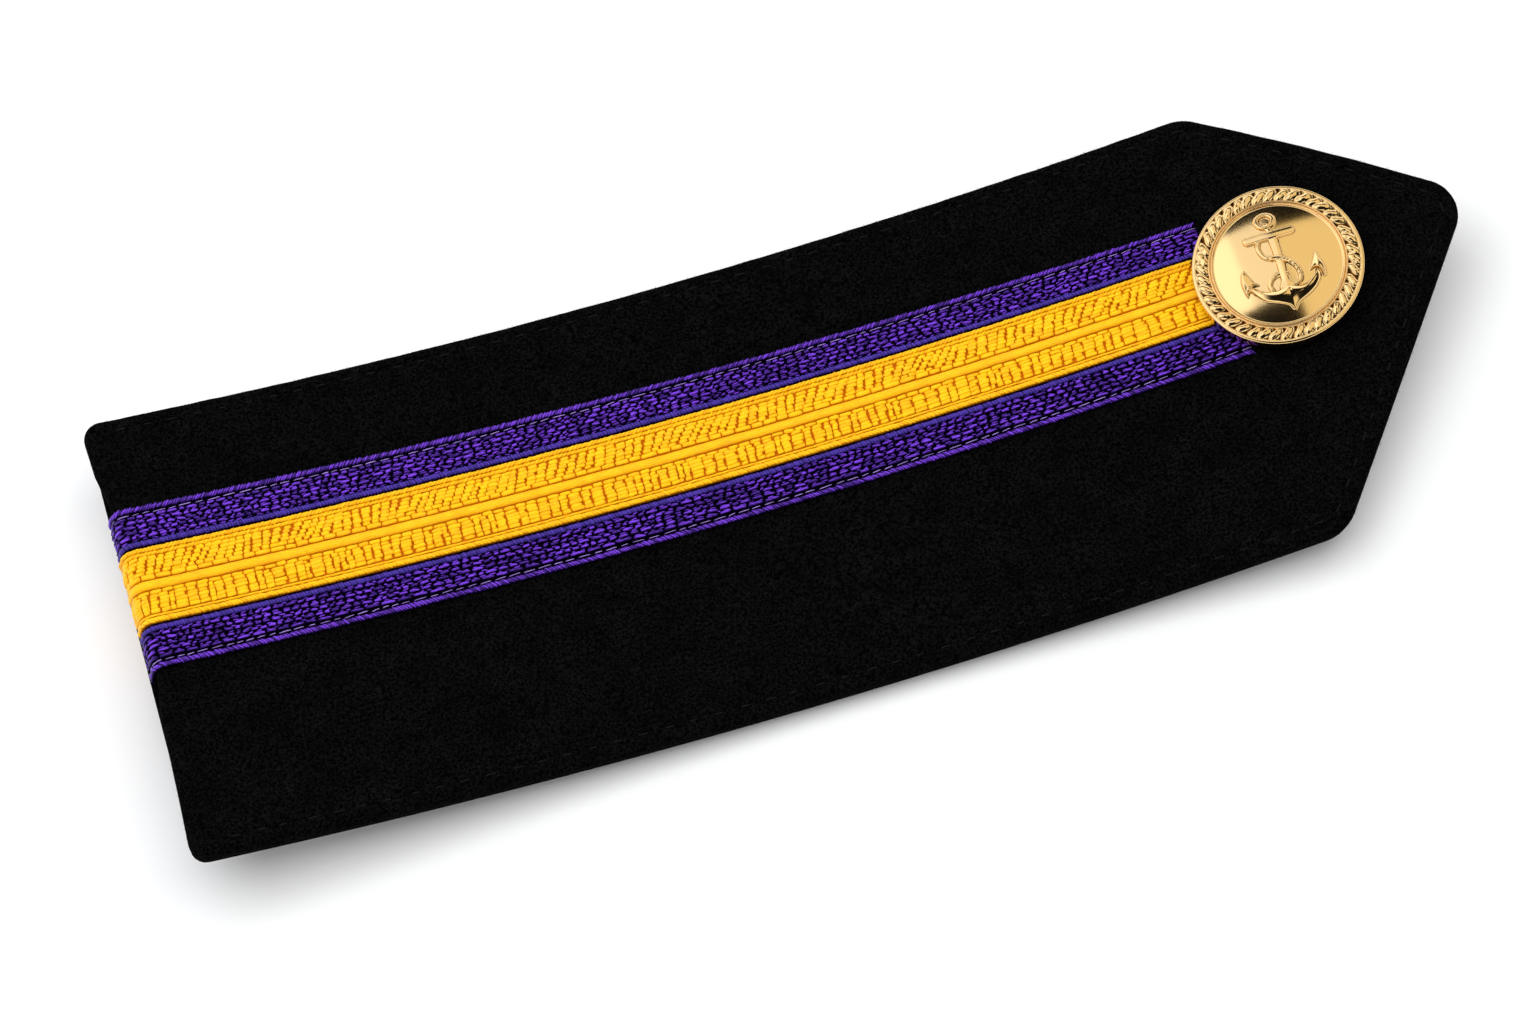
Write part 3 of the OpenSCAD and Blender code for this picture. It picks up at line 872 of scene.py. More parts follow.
# How far from the edge the nap on the face starts, and how deep in the cloth its roots are
NAP_INSET, ROOT_DEPTH = 1.0 * MM, 0.03 * MM
# In mm, how high the fibres on the face lie over it, and how thick the fibres are
FACE_LIFT, FACE_FIBRE, EDGE_FIBRE = (0.01, 0.09), (0.018, 0.035), (0.02, 0.035)


class BOARD_OT_nap(bpy.types.Operator):
    """Raises the loose fibres of the doeskin's nap, on the face and round the edge"""

    bl_idname = "shoulder_board.nap"
    bl_label = "Nap"

    def execute(self, context):
        look = context.scene.shoulder_board.cloth
        rng = np.random.default_rng(11)
        form = Form()
        # On the face, lying in every direction
        amount = look.nap_count
        near, far, _, _ = outline(NAP_INSET, *COVER_STEPS)
        row = rng.uniform(0, len(near) - 1.001, amount)
        low, part = row.astype(int), (row % 1)[:, None]
        a, b = mix(near[low], near[low + 1], part), mix(far[low], far[low + 1], part)
        at = mix(a, b, rng.uniform(0.002, 0.998, amount)[:, None])
        at = at[~under_braid(at)]
        amount = len(at)
        w = rng.uniform(0, 2 * math.pi, amount)
        reach = (look.nap_len * rng.uniform(0.25, 1.0, amount) ** 1.5)[:, None]
        heading = np.stack([np.cos(w), np.sin(w)], 1) * reach
        sideways = np.stack([-heading[:, 1], heading[:, 0]], 1)
        bent = heading + sideways * rng.normal(0, 0.5, (amount, 1))
        lift = rng.uniform(*FACE_LIFT, amount) * MM
        roots = lay_flat(at, BOARD_T - ROOT_DEPTH)
        mids = lay_flat(at + heading * 0.5, BOARD_T + lift)
        tips = lay_flat(at + bent, BOARD_T + lift * rng.uniform(-0.3, 1.4, amount))
        spindles(form, roots, mids, tips, rng.uniform(*FACE_FIBRE, amount) * MM)

        # Round the rolled edge, standing out from it
        amount = look.edge_count
        loop = loop_round(0, *COVER_STEPS)
        total = along_loop(loop, np.zeros(1))[2]
        at, ahead, _ = along_loop(loop, rng.uniform(0, total - 3 * LOOK_AHEAD, amount))
        w = rng.uniform(-0.5, 0.5, amount) * math.pi
        kept = ~under_braid(at)
        at, ahead, w = at[kept], ahead[kept], w[kept]
        amount = len(at)
        out = np.stack([ahead[:, 1], -ahead[:, 0]], 1)
        centre = np.where(w > 0, BOARD_T - COVER_ROLL, BACKING_T + SEAT_GAP + COVER_ROLL)

        def edge_point(r, along):
            place = at + out * (r * np.cos(w) - COVER_ROLL)[:, None] + ahead * along[:, None]
            return lay_flat(place, centre + r * np.sin(w))

        reach = look.nap_len * rng.uniform(0.1, 0.55, amount) ** 1.3
        drift = rng.normal(0, 0.6, amount) * reach
        roots = edge_point(COVER_ROLL - ROOT_DEPTH, 0 * drift)
        mids = edge_point(COVER_ROLL + reach * 0.45, drift * 0.4)
        tips = edge_point(COVER_ROLL + reach * rng.uniform(0.4, 0.9, amount), drift)
        spindles(form, roots, mids, tips, rng.uniform(*EDGE_FIBRE, amount) * MM)
        # The fibres' lighter colour is a painted sheen
        nap = spun_thread("wool fibre", look.fibre)
        form.make("doeskin_nap", [nap], "black_doeskin")
        return {"FINISHED"}


# Braid

# Places of a strip's materials in its list
YARN, GROUND, VIOLET, LILAC = range(4)
# The least height of a thread's underside over the cloth
LEAST_RISE = 0.01 * MM


def edge_y(line, t):
    """An edge line's y at a share t of the way to the button, through its three places."""
    return line[0] * (1 - t) * (1 - 2 * t) + line[1] * 4 * t * (1 - t) + line[2] * t * (2 * t - 1)


class Strip:
    """A strip of braid between two edge lines, laid round the square end."""

    # Round the square end it makes two quarter turns, with the board's straight side between
    # them, and its tail goes on underneath
    wrap_r = COVER_ROLL + SEAT_GAP
    quarter = wrap_r * math.pi / 2
    side = BOARD_T - 2 * COVER_ROLL
    start = -(2 * quarter + side + TAIL_LEN - COVER_ROLL)
    # The last part is turned down, and keeps this share of its height
    fold, end_rise = 0.5 * MM, 0.2

    def __init__(self, edge_a, edge_b, run_end, seed):
        self.a, self.b = edge_a, edge_b
        self.end = run_end - COVER_ROLL
        self.width = abs(edge_a[1] - edge_b[1])
        self.rng = np.random.default_rng(seed)
        self.form = Form()

    def lay(self, along, across, rise):
        """Places points: along the strip from the end's fold, across from its first edge
        and up from the cloth. Its button end is turned down."""
        along, across, rise = np.broadcast_arrays(along, across, rise)
        r = self.wrap_r
        first = np.clip(-along / r, 0, math.pi / 2)
        down = np.clip(-along - self.quarter, 0, self.side)
        second = np.clip((-along - self.quarter - self.side) / r, 0, math.pi / 2)
        turn = first + second
        under = np.clip(-along - 2 * self.quarter - self.side, 0, None)
        s = COVER_ROLL - r * np.sin(turn) + np.clip(along, 0, None) + under
        h = BOARD_T - COVER_ROLL + r * np.cos(first) - down - r * np.sin(second)
        past = np.clip((along - self.end + self.fold) / self.fold, 0, 1)
        rise = rise * np.sqrt(1 - past**2 * (1 - self.end_rise**2))
        t = np.clip(s / BUTTON_AT, 0, 1)
        y = mix(edge_y(self.a, t), edge_y(self.b, t), across / self.width)
        shift = (hollow(y) + END_SKEW * y / END_W) * follow(SQUARE_S + s)
        return bend(SQUARE_S + s + shift - rise * np.sin(turn), y, h + rise * np.cos(turn))

    def rings(self, along, across, lift, size, full, angle):
        """A thread's rings round its middle, which lies at lift over the cloth. size is its
        half width and height, and full its fullness at each angle round it."""
        wide, high = size[0] * full * np.cos(angle), size[1] * full * np.sin(angle)
        return self.lay(along, across + wide, np.clip(lift + high, LEAST_RISE, None))


def ground(strip, height):
    """The closed, flat woven ground that the threads are worked on."""
    edge, hem = 0.14 * MM, 0.03 * MM
    w = strip.width
    across = [w - hem, w - hem, w - edge, *np.linspace(w * 0.8, w * 0.2, 4), edge, hem, hem]
    rise = height * np.array([0, 0.5, 1, 1, 1, 1, 1, 1, 0.5, 0])
    turned = np.linspace(-strip.quarter * 2 - strip.side, 0, 40)[1:-1]
    tail = np.linspace(strip.start, turned[0] - 0.05 * MM, 12)
    top = np.linspace(0, strip.end - strip.fold, 170)
    fold = strip.end - strip.fold * np.linspace(0.9, 0, 6)
    along = np.concatenate([tail, turned, top, fold])
    rings = strip.lay(along[:, None], np.array(across)[None], rise[None])
    tube(strip.form, rings, along, GROUND, girth=20)


# A thread that shows as a dash: place along the dash, fullness, and share of its rise
DASH = np.array(
    [
        [0.00, 0.50, 0.00],
        [0.08, 0.90, 0.75],
        [0.30, 1.00, 0.98],
        [0.70, 1.00, 0.98],
        [0.92, 0.90, 0.75],
        [1.00, 0.50, 0.00],
    ]
)
# Three plies show on every yarn, and turn once in this length
PLIES, PLY_TURN = 3, 3.2 * MM
# How much a dash's fullness and shade may differ, and how far its lean and place may stray
FATTER, SHADE = (-0.13, 0.1), (-0.22, 0.18)
LEAN_ERROR, PLACE_ERROR = 0.04 * MM, 0.025 * MM
# The painted shade on a thread's underside, as a tone, where the painted highlight on its crest has
# a tone of 1
PAINTED_UNDER_SHADE = -0.4


def painted_light_share(angle):
    """How near a place round a thread is to its crest: 1 on it, and 0 underneath. It sets
    the painted highlight and the painted shade round a thread.
    """
    return 0.5 + 0.5 * np.sin(angle)


def way_round(size):
    """About how far it is round a thread with a half width and height, in mm."""
    return math.pi * sum(size) / MM


def dashes(strip, across, run, size, lift, slant=0.0, dip=0.0, kind=YARN, ply=0.09):
    """One yarn along the strip that rises over the ground in dashes. run is their starts
    and ends, size the yarn's half width and height, lift the height of its middle under
    and over the ground's threads. Its plies show as slanting lobes, ply of its thickness
    deep, and dip is how much of its rise it keeps at a dash's ends."""
    rng, sides = strip.rng, 8
    t, full, rise = DASH.T
    starts, ends = run
    n = len(starts)
    low, high = lift
    along = starts[:, None] + (ends - starts)[:, None] * t
    fat = 1 + rng.uniform(*FATTER, (n, 1))
    lean = slant + rng.normal(0, LEAN_ERROR, n)
    middle = across + lean[:, None] * (t - 0.5) + rng.normal(0, PLACE_ERROR, (n, 1))
    kept = np.broadcast_to(dip, n)[:, None]
    rise = mix(kept, 1, rise)
    full = mix(1, full, 1 - kept)
    height = low + (high * fat - low) * rise
    twist = 2 * math.pi * along / PLY_TURN + rng.uniform(0, 6, (n, 1))
    w = np.arange(sides) * 2 * math.pi / sides
    lobes = 1 + ply * np.cos(PLIES * (w - twist[..., None]))
    full = (full * fat)[..., None] * lobes
    angle = w - math.pi / 2
    rings = strip.rings(along[..., None], middle[..., None], height[..., None], size, full, angle)
    # Painted highlight on the crest, and painted shade on the sides and at the dash's ends where it
    # dives into the ground
    crest = painted_light_share(angle) * np.sqrt(rise)[..., None]
    tones = mix(PAINTED_UNDER_SHADE, 1, crest) + rng.uniform(*SHADE, (n, 1, 1))
    for ring, place, tone, turn in zip(rings, along, tones, twist):
        tube(strip.form, ring, place, kind, tone, way_round(size), turn * sides / (2 * math.pi))


def spans(rng, start, end, least, most, gap):
    """Starts and ends of dashes of uneven length with gaps between them, up to the end."""
    starts, ends, at = [], [], start
    while at < end - least:
        size = rng.uniform(least, most)
        starts.append(at)
        ends.append(at + size if at + size + least < end else end)
        at += size + gap * rng.uniform(0.6, 1.5)
    return np.array(starts), np.array(ends)


# A cord's strand from one groove to the next: place along the pitch, and fullness
STRAND = np.array([[0.0, 0.0], [0.13, 0.6], [0.36, 1.0], [0.64, 1.0], [0.87, 0.6]])
# How far round the cord its filaments turn from one strand to the next
FILAMENT_TURN = 0.3
# How far a cord sways to each side of its line, and over what length
CORD_SWAY, SWAY_LEN = 0.02 * MM, 6 * MM


def cord(strip, across, size, lift, pitch, depth, lean, kind=YARN, uneven=0.2):
    """A twisted cord along the strip, whose size is its half width and height. Its strands
    lie slanted by lean, and the grooves between them cut in by depth, a share of its
    thickness."""
    rng, sides = strip.rng, 8
    amount = int((strip.end - strip.start) / pitch)
    places = strip.start + (np.arange(amount) + uneven * rng.uniform(-1, 1, amount)) * pitch
    along = (places[:, None] + STRAND[:, 0] * pitch).ravel()
    fat = 1 + uneven * rng.uniform(-0.8, 0.5, (amount, 1))
    full = ((1 - depth * (1 - STRAND[:, 1])) * fat).ravel()[:, None]
    w = np.radians(-90 + np.arange(sides) * 360 / sides)
    sway = CORD_SWAY * ripple(along, 0, SWAY_LEN, 5)[:, None]
    slanted = along[:, None] - lean * size[0] * np.cos(w)
    rings = strip.rings(slanted, across + sway, lift, size, full, w)
    # Painted highlight on the crest, and painted shade on the underside and in the grooves between
    # the strands
    crest = painted_light_share(w) * mix(0.5, 1, STRAND[:, 1:])
    tone = mix(PAINTED_UNDER_SHADE, 1, crest) + rng.uniform(-0.2, 0.2, (amount, 1, 1))
    twist = along / pitch * FILAMENT_TURN * sides
    tube(strip.form, rings, along, kind, tone, way_round(size), twist)


# Height of a laid cord's middle, the depth between its plies as a share of its thickness,
# and how far it sways to each side of its line, over what length
LAID_LIFT, LAID_DEPTH = 0.28 * MM, 0.15
LAID_SWAY, LAID_SWAY_LEN = 0.03 * MM, 8 * MM


def laid_cord(strip, across, size, turn_len, plies, sides):
    """A smooth, laid cord, whose size is its half width and height. Low lobes and fine
    lines run round it with its plies, once in turn_len."""
    step = 0.4 * MM
    along = np.append(np.arange(strip.start, strip.end - step / 2, step), strip.end)
    turn = 2 * math.pi * along / turn_len + 0.8 * ripple(along, 0, 11 * MM, 7)
    w = np.arange(sides) * 2 * math.pi / sides
    between_plies = 1 - np.abs(np.cos(plies / 2 * (w - turn[:, None]))) ** 0.7
    lobes = 1 - LAID_DEPTH * between_plies
    angle = w - math.pi / 2
    sway = LAID_SWAY * ripple(along, 0, LAID_SWAY_LEN, 9)[:, None]
    rings = strip.rings(along[:, None], across + sway, LAID_LIFT, size, lobes, angle)
    # Painted highlight on the crest, and painted shade on the underside and between the plies, with
    # a random ripple of tone
    crest = painted_light_share(angle) * (1 - 0.5 * between_plies)
    tone = mix(-0.3, 1, crest) + 0.1 * ripple(along, 0, 3 * MM, 8)[:, None]
    tube(strip.form, rings, along, YARN, tone, way_round(size), turn * sides / (2 * math.pi))


# Rows of the purple braid, as shares of its width from the outer edge
UPPER_ROWS = (0.27, 0.39, 0.505, 0.62, 0.745)
LOWER_ROWS = (0.275, 0.395, 0.515, 0.635, 0.76)
OUTER_CORD, STITCH_ROW, INNER_CORD = 0.075, 0.185, 0.9
# From a row to the short links that fill the ground beside it
LINK_OFF = 0.056
# Half width and height of its cords and threads
OUTER_SIZE, INNER_SIZE = (0.35 * MM, 0.25 * MM), (0.36 * MM, 0.26 * MM)
BODY_SIZE, LINK_SIZE = (0.17 * MM, 0.19 * MM), (0.1 * MM, 0.11 * MM)
SEWING_SIZE = (0.06 * MM, 0.08 * MM)
# How far along the board each strip runs, to its end under the button
UPPER_RUN, LOWER_RUN, YELLOW_RUN = 128.3 * MM, 129.1 * MM, 126.5 * MM


class BOARD_OT_purple(bpy.types.Operator):
    """Weaves the two purple strips, with their outer cord, sewing thread, body and inner cord"""

    bl_idname = "shoulder_board.purple"
    bl_label = "Purple braid"

    def execute(self, context):
        look = context.scene.shoulder_board.braid
        # Each yarn runs from a painted highlight on its crest to painted shade on its sides, and the
        # ground is painted shade
        materials = [
            rayon("purple rayon", look.purple_painted_shade, look.purple, 0.28, 0.15, 5.0),
            rayon("purple ground", look.purple_ground_painted_shade, look.purple_ground_painted_shade, 0.8, 0.02),
            rayon("violet rayon", look.violet_painted_shade, look.violet, 0.45, 0.18, 1.8),
            rayon("lilac thread", look.violet_painted_shade, look.lilac, gloss=0.2, painted_highlight_narrowing=1.5),
        ]
        strips = (
            ("upper_purple", UPPER_EDGE, UPPER_LINE + HALF_GAP, UPPER_RUN, -1, UPPER_ROWS),
            ("lower_purple", LOWER_EDGE, LOWER_LINE - HALF_GAP, LOWER_RUN, 1, LOWER_ROWS),
        )
        for name, outer, inner, run_end, hand, rows in strips:
            strip = Strip(outer, inner, run_end, 31 + hand)
            rng, width = strip.rng, strip.width
            start, end = strip.start, strip.end
            ground(strip, look.ground * 0.6)
            lift, pitch = 0.22 * MM, 0.34 * MM
            cord(strip, OUTER_CORD * width, OUTER_SIZE, lift, pitch, 0.36, 0.8, uneven=0.3)
            pitch = 0.36 * MM
            cord(strip, INNER_CORD * width, INNER_SIZE, lift, pitch, 0.18, 0.3 * hand, VIOLET)
            run = spans(rng, start, end, 0.8 * MM, 1.7 * MM, 0.3 * MM)
            dashes(
                strip, STITCH_ROW * width, run, SEWING_SIZE, (0.06 * MM, 0.2 * MM),
                0.08 * MM * hand, kind=LILAC, ply=0.05,
            )
            for k, row in enumerate(rows):
                # The lower strip's outermost row has longer dashes than the rest
                longer = 0.5 * MM if k == 0 and hand > 0 else 0
                run = spans(rng, start, end, 0.55 * MM + longer, 1.45 * MM + longer, 0.12 * MM)
                slant = hand * rng.uniform(-0.08, 0.12, len(run[0])) * MM
                lift = (0.04 * MM, look.crest)
                dashes(strip, row * width, run, BODY_SIZE, lift, slant, ply=0.14)
            for row in np.array(rows) + LINK_OFF:
                run = spans(rng, start, end, 0.4 * MM, 0.9 * MM, 0.35 * MM)
                slant = hand * rng.uniform(-0.1, 0.2, len(run[0])) * MM
                lift = (0.04 * MM, 0.18 * MM)
                dashes(strip, row * width, run, LINK_SIZE, lift, slant, ply=0.05)
            strip.form.make(name + "_weave", materials, "purple_braid", name + "_braid")
        return {"FINISHED"}


# A ribbed band of the yellow braid is so many rows of dashes, at this pitch. Each band has
# its first row's place, the lean of its ribs, and the least and most that a rib is wide,
# all but the lean in mm
ROW_PITCH, ROWS = 0.425 * MM, 5
YELLOW_BANDS = ((1.29, 0.58, 0.85, 1.25), (5.76, 0.06, 0.6, 1.6))
# Half width and height of its thread, and how far its middle row stands over the outer ones
BAND_SIZE, BAND_BULGE = (0.28 * MM, 0.2 * MM), 0.07 * MM
# The share of dashes that end in a small hole, its length, and the least length of a dash
HOLES, HOLE_LEN, LEAST_DASH = 0.4, 0.13 * MM, 0.3 * MM
# Single rows of dashes, in mm: place, half width and height, and least and most length
YELLOW_ROWS = ((3.47, 0.31, 0.24, 1.2, 1.9), (5.31, 0.26, 0.22, 1.1, 1.5))
# Twisted edge cords, in mm: place, half width, height of the middle, and strands' pitch
EDGE_CORDS = ((0.29, 0.29, 0.34, 0.46), (0.78, 0.27, 0.24, 0.52))
LAST_CORD = (0.35, 0.34, 0.3, 0.46)
# The depth between their strands, as a share of the thickness, and the strands' lean
EDGE_DEPTH, EDGE_LEAN = 0.17, 0.9
# Laid cords: the thin one's place from the last edge, the middle one's from the first edge
THIN_AT, MIDDLE_AT = 0.84 * MM, 4.42 * MM
# Bars across the bands where they turn over the end: place along, first and last place
# across, in mm
TURN_BARS = ((-0.9, 1.2, 3.2), (-0.15, 1.3, 3.1), (-1.0, 5.6, 7.4), (-0.25, 5.7, 7.5))
# Their half thickness, and the height of their middle over the cloth
BAR_HALF, BAR_LIFT = 0.07 * MM, 0.42 * MM


def bar_across(strip, along, first, last):
    """A straight thread that lies across the strip."""
    t, full, rise = DASH.T
    across = mix(first, last, t)
    w = np.radians(-90 + np.arange(8) * 45)
    r = BAR_HALF * full[:, None]
    height = np.clip(BAR_LIFT * rise[:, None] + r * np.sin(w), LEAST_RISE, None)
    tube(strip.form, strip.lay(along + r * np.cos(w), across[:, None], height), across, YARN, 0.9)


class BOARD_OT_yellow(bpy.types.Operator):
    """Weaves the yellow strip: edge cords, a middle cord and two ribbed bands"""

    bl_idname = "shoulder_board.yellow"
    bl_label = "Yellow braid"

    def execute(self, context):
        look = context.scene.shoulder_board.braid
        # The yarn runs from a painted highlight on its crest to painted shade on its sides, and the
        # ground is painted shade
        materials = [
            rayon("yellow rayon", look.yellow_painted_shade, look.yellow, gloss=0.2),
            rayon("yellow ground", look.yellow_ground_painted_shade, look.yellow_ground_painted_shade, 0.8, 0.1),
        ]
        strip = Strip(UPPER_LINE - HALF_GAP, LOWER_LINE + HALF_GAP, YELLOW_RUN, 41)
        rng, width = strip.rng, strip.width
        start, end = strip.start, strip.end
        ground(strip, look.ground * 1.3)
        for across, half_w, half_h, least, most in np.array(YELLOW_ROWS) * MM:
            run = spans(rng, start, end, least, most, 0.05 * MM)
            lift = (0.14 * MM, look.crest)
            dashes(strip, across, run, (half_w, half_h), lift, dip=0.3)
        for first, lean, least, most in YELLOW_BANDS:
            starts, ends = spans(rng, start, end, least * MM, most * MM, 0.05 * MM)
            slope = lean * (1 + 0.55 * ripple(starts, 0, 12 * MM, int(first * 10)))
            for k in range(ROWS):
                shift = -slope * (k - ROWS / 2) * ROW_PITCH + rng.normal(0, LEAN_ERROR, len(starts))
                hole = rng.random(len(starts)) < HOLES
                a, b = starts + shift, np.minimum(ends + shift - HOLE_LEN * hole, end)
                kept = b - a > LEAST_DASH
                bulge = BAND_BULGE * (1 - (k / (ROWS - 1) * 2 - 1) ** 2)
                dashes(
                    strip, first * MM + k * ROW_PITCH, (a[kept], b[kept]), BAND_SIZE,
                    (0.12 * MM, look.crest + bulge), -0.05 * MM, np.where(hole, 0.0, 0.55)[kept],
                )
        for along, first, last in np.array(TURN_BARS) * MM:
            bar_across(strip, along, first, last)
        strip.form.make("yellow_weave", materials, "yellow_braid", "yellow_braid")

        strip.form = Form()
        for across, half_w, lift, pitch in np.array(EDGE_CORDS) * MM:
            cord(strip, across, (half_w, 0.25 * MM), lift, pitch, EDGE_DEPTH, EDGE_LEAN)
        across, half_w, lift, pitch = np.array(LAST_CORD) * MM
        cord(strip, width - across, (half_w, 0.27 * MM), lift, pitch, EDGE_DEPTH, -EDGE_LEAN)
        thin, full = (0.15 * MM, 0.14 * MM), (0.56 * MM, 0.34 * MM)
        laid_cord(strip, width - THIN_AT, thin, turn_len=2.6 * MM, plies=2, sides=12)
        laid_cord(strip, MIDDLE_AT, full, turn_len=70 * MM, plies=14, sides=56)
        strip.form.make("yellow_cords", materials, "yellow_braid")
        return {"FINISHED"}


# Button

# The anchor's outlines and ridges, in mm from the button's middle, with its ring at +Y
RING_AT, RING_R, RING_BAR = (0.3, 5.25), 0.94, 0.36
# The ring is a little wider than it is high
RING_SQUASH = (1.0, 1.14)
NECK = ((0.22, 4.7), (0.4, 3.6))
STOCK = ((-2.4, 3.5), (2.7, 3.13))
STOCK_HALF, NECK_HALF = 0.53, 0.38
SHANK = (
    (-0.08, 3.4), (-0.22, 1.2), (-0.38, -1.0), (-0.5, -2.3), (-0.95, -3.2), (-0.1, -4.3),
    (0.95, -3.3), (0.55, -2.6), (0.58, -1.7), (0.83, 0.3), (0.98, 3.3),
)
SHANK_RIDGE = ((0.6, 3.3), (0.4, 0.5), (0.15, -2.2), (0.0, -3.4))
ARMS = (
    (-3.75, -1.85), (-2.85, -2.65), (-1.8, -3.15), (-0.8, -3.2), (0.0, -2.9), (0.8, -3.35),
    (1.5, -3.55), (2.3, -3.4), (3.2, -2.85), (3.75, -2.2), (4.05, -3.05), (3.3, -4.1),
    (2.1, -4.85), (0.6, -5.4), (-0.13, -6.05), (-0.6, -5.3), (-1.45, -4.75), (-2.95, -3.9),
    (-4.1, -2.3),
)
ARM_RIDGE = (
    (-3.9, -2.1), (-2.75, -3.3), (-1.45, -3.85), (-0.5, -3.8), (0.1, -3.5), (0.5, -3.85),
    (1.45, -4.05), (2.3, -3.8), (3.75, -2.7),
)
LEFT_FLUKE = (
    (-3.95, 0.4), (-4.5, -0.2), (-4.75, -1.4), (-4.55, -2.8), (-3.75, -1.95), (-2.8, -1.95),
    (-3.25, -1.35), (-3.6, -0.4),
)
LEFT_FLUKE_RIDGE = ((-4.1, 0.1), (-4.3, -1.0), (-4.0, -2.0))
RIGHT_FLUKE = (
    (4.3, -0.1), (3.65, -1.0), (2.95, -2.25), (3.7, -2.15), (4.05, -2.5), (4.2, -3.35),
    (4.55, -3.3), (4.75, -2.3), (4.55, -1.15),
)
RIGHT_FLUKE_RIDGE = ((4.25, -0.4), (4.25, -1.3), (3.95, -2.2))
CABLE = (
    (-0.9, 3.5), (-1.3, 2.9), (-1.55, 2.1), (-1.25, 1.05), (-0.5, 0.55), (0.3, 0.35), (1.1, -0.25),
    (1.7, -1.15), (1.85, -2.2), (1.6, -2.9), (0.9, -3.2),
)
CABLE_LOOP = ((0.4, -1.7), (-0.6, -1.5), (-1.4, -1.85), (-1.8, -2.5), (-1.7, -3.1))
CABLE_R, STRAND_LEN = 0.34, 0.62
CLEAR_STRANDS = (1.75, -1.5)
# How steep the stamped walls are
WALL = 0.17


def path_place(p, path):
    """Distance from points to a line through several places, and where along it they lie
    and how far to its left."""
    best = np.full(p.shape[:-1], np.inf)
    along, left, run = 0 * best, 0 * best, 0.0
    for a, b in zip(np.array(path[:-1]), np.array(path[1:])):
        size = np.linalg.norm(b - a)
        ahead = (b - a) / size
        t = np.clip((p - a) @ ahead, 0, size)
        off = p - a - t[..., None] * ahead
        gap = np.linalg.norm(off, axis=-1)
        near = gap < best
        best = np.where(near, gap, best)
        along = np.where(near, run + t, along)
        left = np.where(near, ahead[0] * off[..., 1] - ahead[1] * off[..., 0], left)
        run += size
    return best, along, left


def inside_depth(p, corners):
    """How far points lie inside a closed outline; negative outside it."""
    corners = np.array(corners)
    depth = path_place(p, np.concatenate([corners, corners[:1]]))[0]
    inside = np.zeros(p.shape[:-1], bool)
    for a, b in zip(corners, np.roll(corners, -1, 0)):
        crosses = (a[1] > p[..., 1]) != (b[1] > p[..., 1])
        slope = (b[0] - a[0]) / (b[1] - a[1] if b[1] != a[1] else 1e-12)
        inside ^= crosses & (p[..., 0] < a[0] + slope * (p[..., 1] - a[1]))
    return np.where(inside, depth, -depth)


def curve_through(points, steps=8):
    """A smooth line through a few places."""
    p = np.array([points[0], *points, points[-1]], float)
    t = np.linspace(0, 1, steps, endpoint=False)[:, None]
    line = []
    for a, b, c, d in zip(p[:-3], p[1:-2], p[2:-1], p[3:]):
        pull = 2 * a - 5 * b + 4 * c - d
        line.append(0.5 * (2 * b + (c - a) * t + pull * t**2 + (3 * b - a - 3 * c + d) * t**3))
    return np.concatenate([*line, p[-1:]])


def rounded(corners, steps=8):
    """A closed outline through a few corners, eased into curves."""
    line = curve_through([*corners[-2:], *corners, *corners[:2]], steps)
    return line[2 * steps : -steps - 1]


def roof(p, corners, ridge, eaves):
    """A stamped form with a steep wall up to its eaves, and slopes from there to a ridge."""
    edge, top = inside_depth(p, rounded(corners)), path_place(p, curve_through(ridge))[0]
    slope = mix(eaves, 1, np.clip(edge, 0, None) / (np.abs(edge) + top + 1e-6))
    return smooth(edge / WALL) * slope


def beam(p, ends, half, eaves):
    """A straight stamped bar with a ridge along its middle."""
    gap = path_place(p, ends)[0]
    return smooth((half - gap) / WALL) * mix(1, eaves, np.clip(gap / half, 0, 1))


def twisted(p, path, half):
    """A stamped rope, round across. Its strands show clearly only where it is least rubbed down."""
    gap, along, left = path_place(p, curve_through(path))
    round_top = np.sqrt(np.clip(1 - (gap / half) ** 2, 0, 1))
    strands = np.cos(2 * math.pi * (along / STRAND_LEN + left / half * 0.35))
    marks = mix(0.01, 0.14, smooth(1.3 - np.linalg.norm(p - CLEAR_STRANDS, axis=-1)))
    return round_top * smooth((half - gap) / (0.6 * WALL)) * (1 - marks + marks * strands)


def anchor_height(p):
    """The stamped anchor's height at points on the face, as a share of its relief."""
    from_ring = np.linalg.norm((p - RING_AT) * RING_SQUASH, axis=-1)
    off_bar = np.abs(from_ring - RING_R)
    ring = smooth((RING_BAR - off_bar) / WALL) * (1 - 0.3 * (off_bar / RING_BAR) ** 2)
    # Each form's share of the relief, and at its end the height of its eaves by its ridge
    shapes = [
        0.85 * ring,
        0.7 * beam(p, NECK, NECK_HALF, 0.85),
        0.8 * roof(p, SHANK, SHANK_RIDGE, 0.8),
        1.15 * roof(p, ARMS, ARM_RIDGE, 0.3),
        1.1 * roof(p, LEFT_FLUKE, LEFT_FLUKE_RIDGE, 0.55),
        1.1 * roof(p, RIGHT_FLUKE, RIGHT_FLUKE_RIDGE, 0.55),
        beam(p, STOCK, STOCK_HALF, 0.95),
        0.65 * twisted(p, CABLE, CABLE_R),
        0.65 * twisted(p, CABLE_LOOP, CABLE_R),
        1.1 * twisted(p, CABLE[4:7], CABLE_R),
    ]
    return np.max(shapes, axis=0)


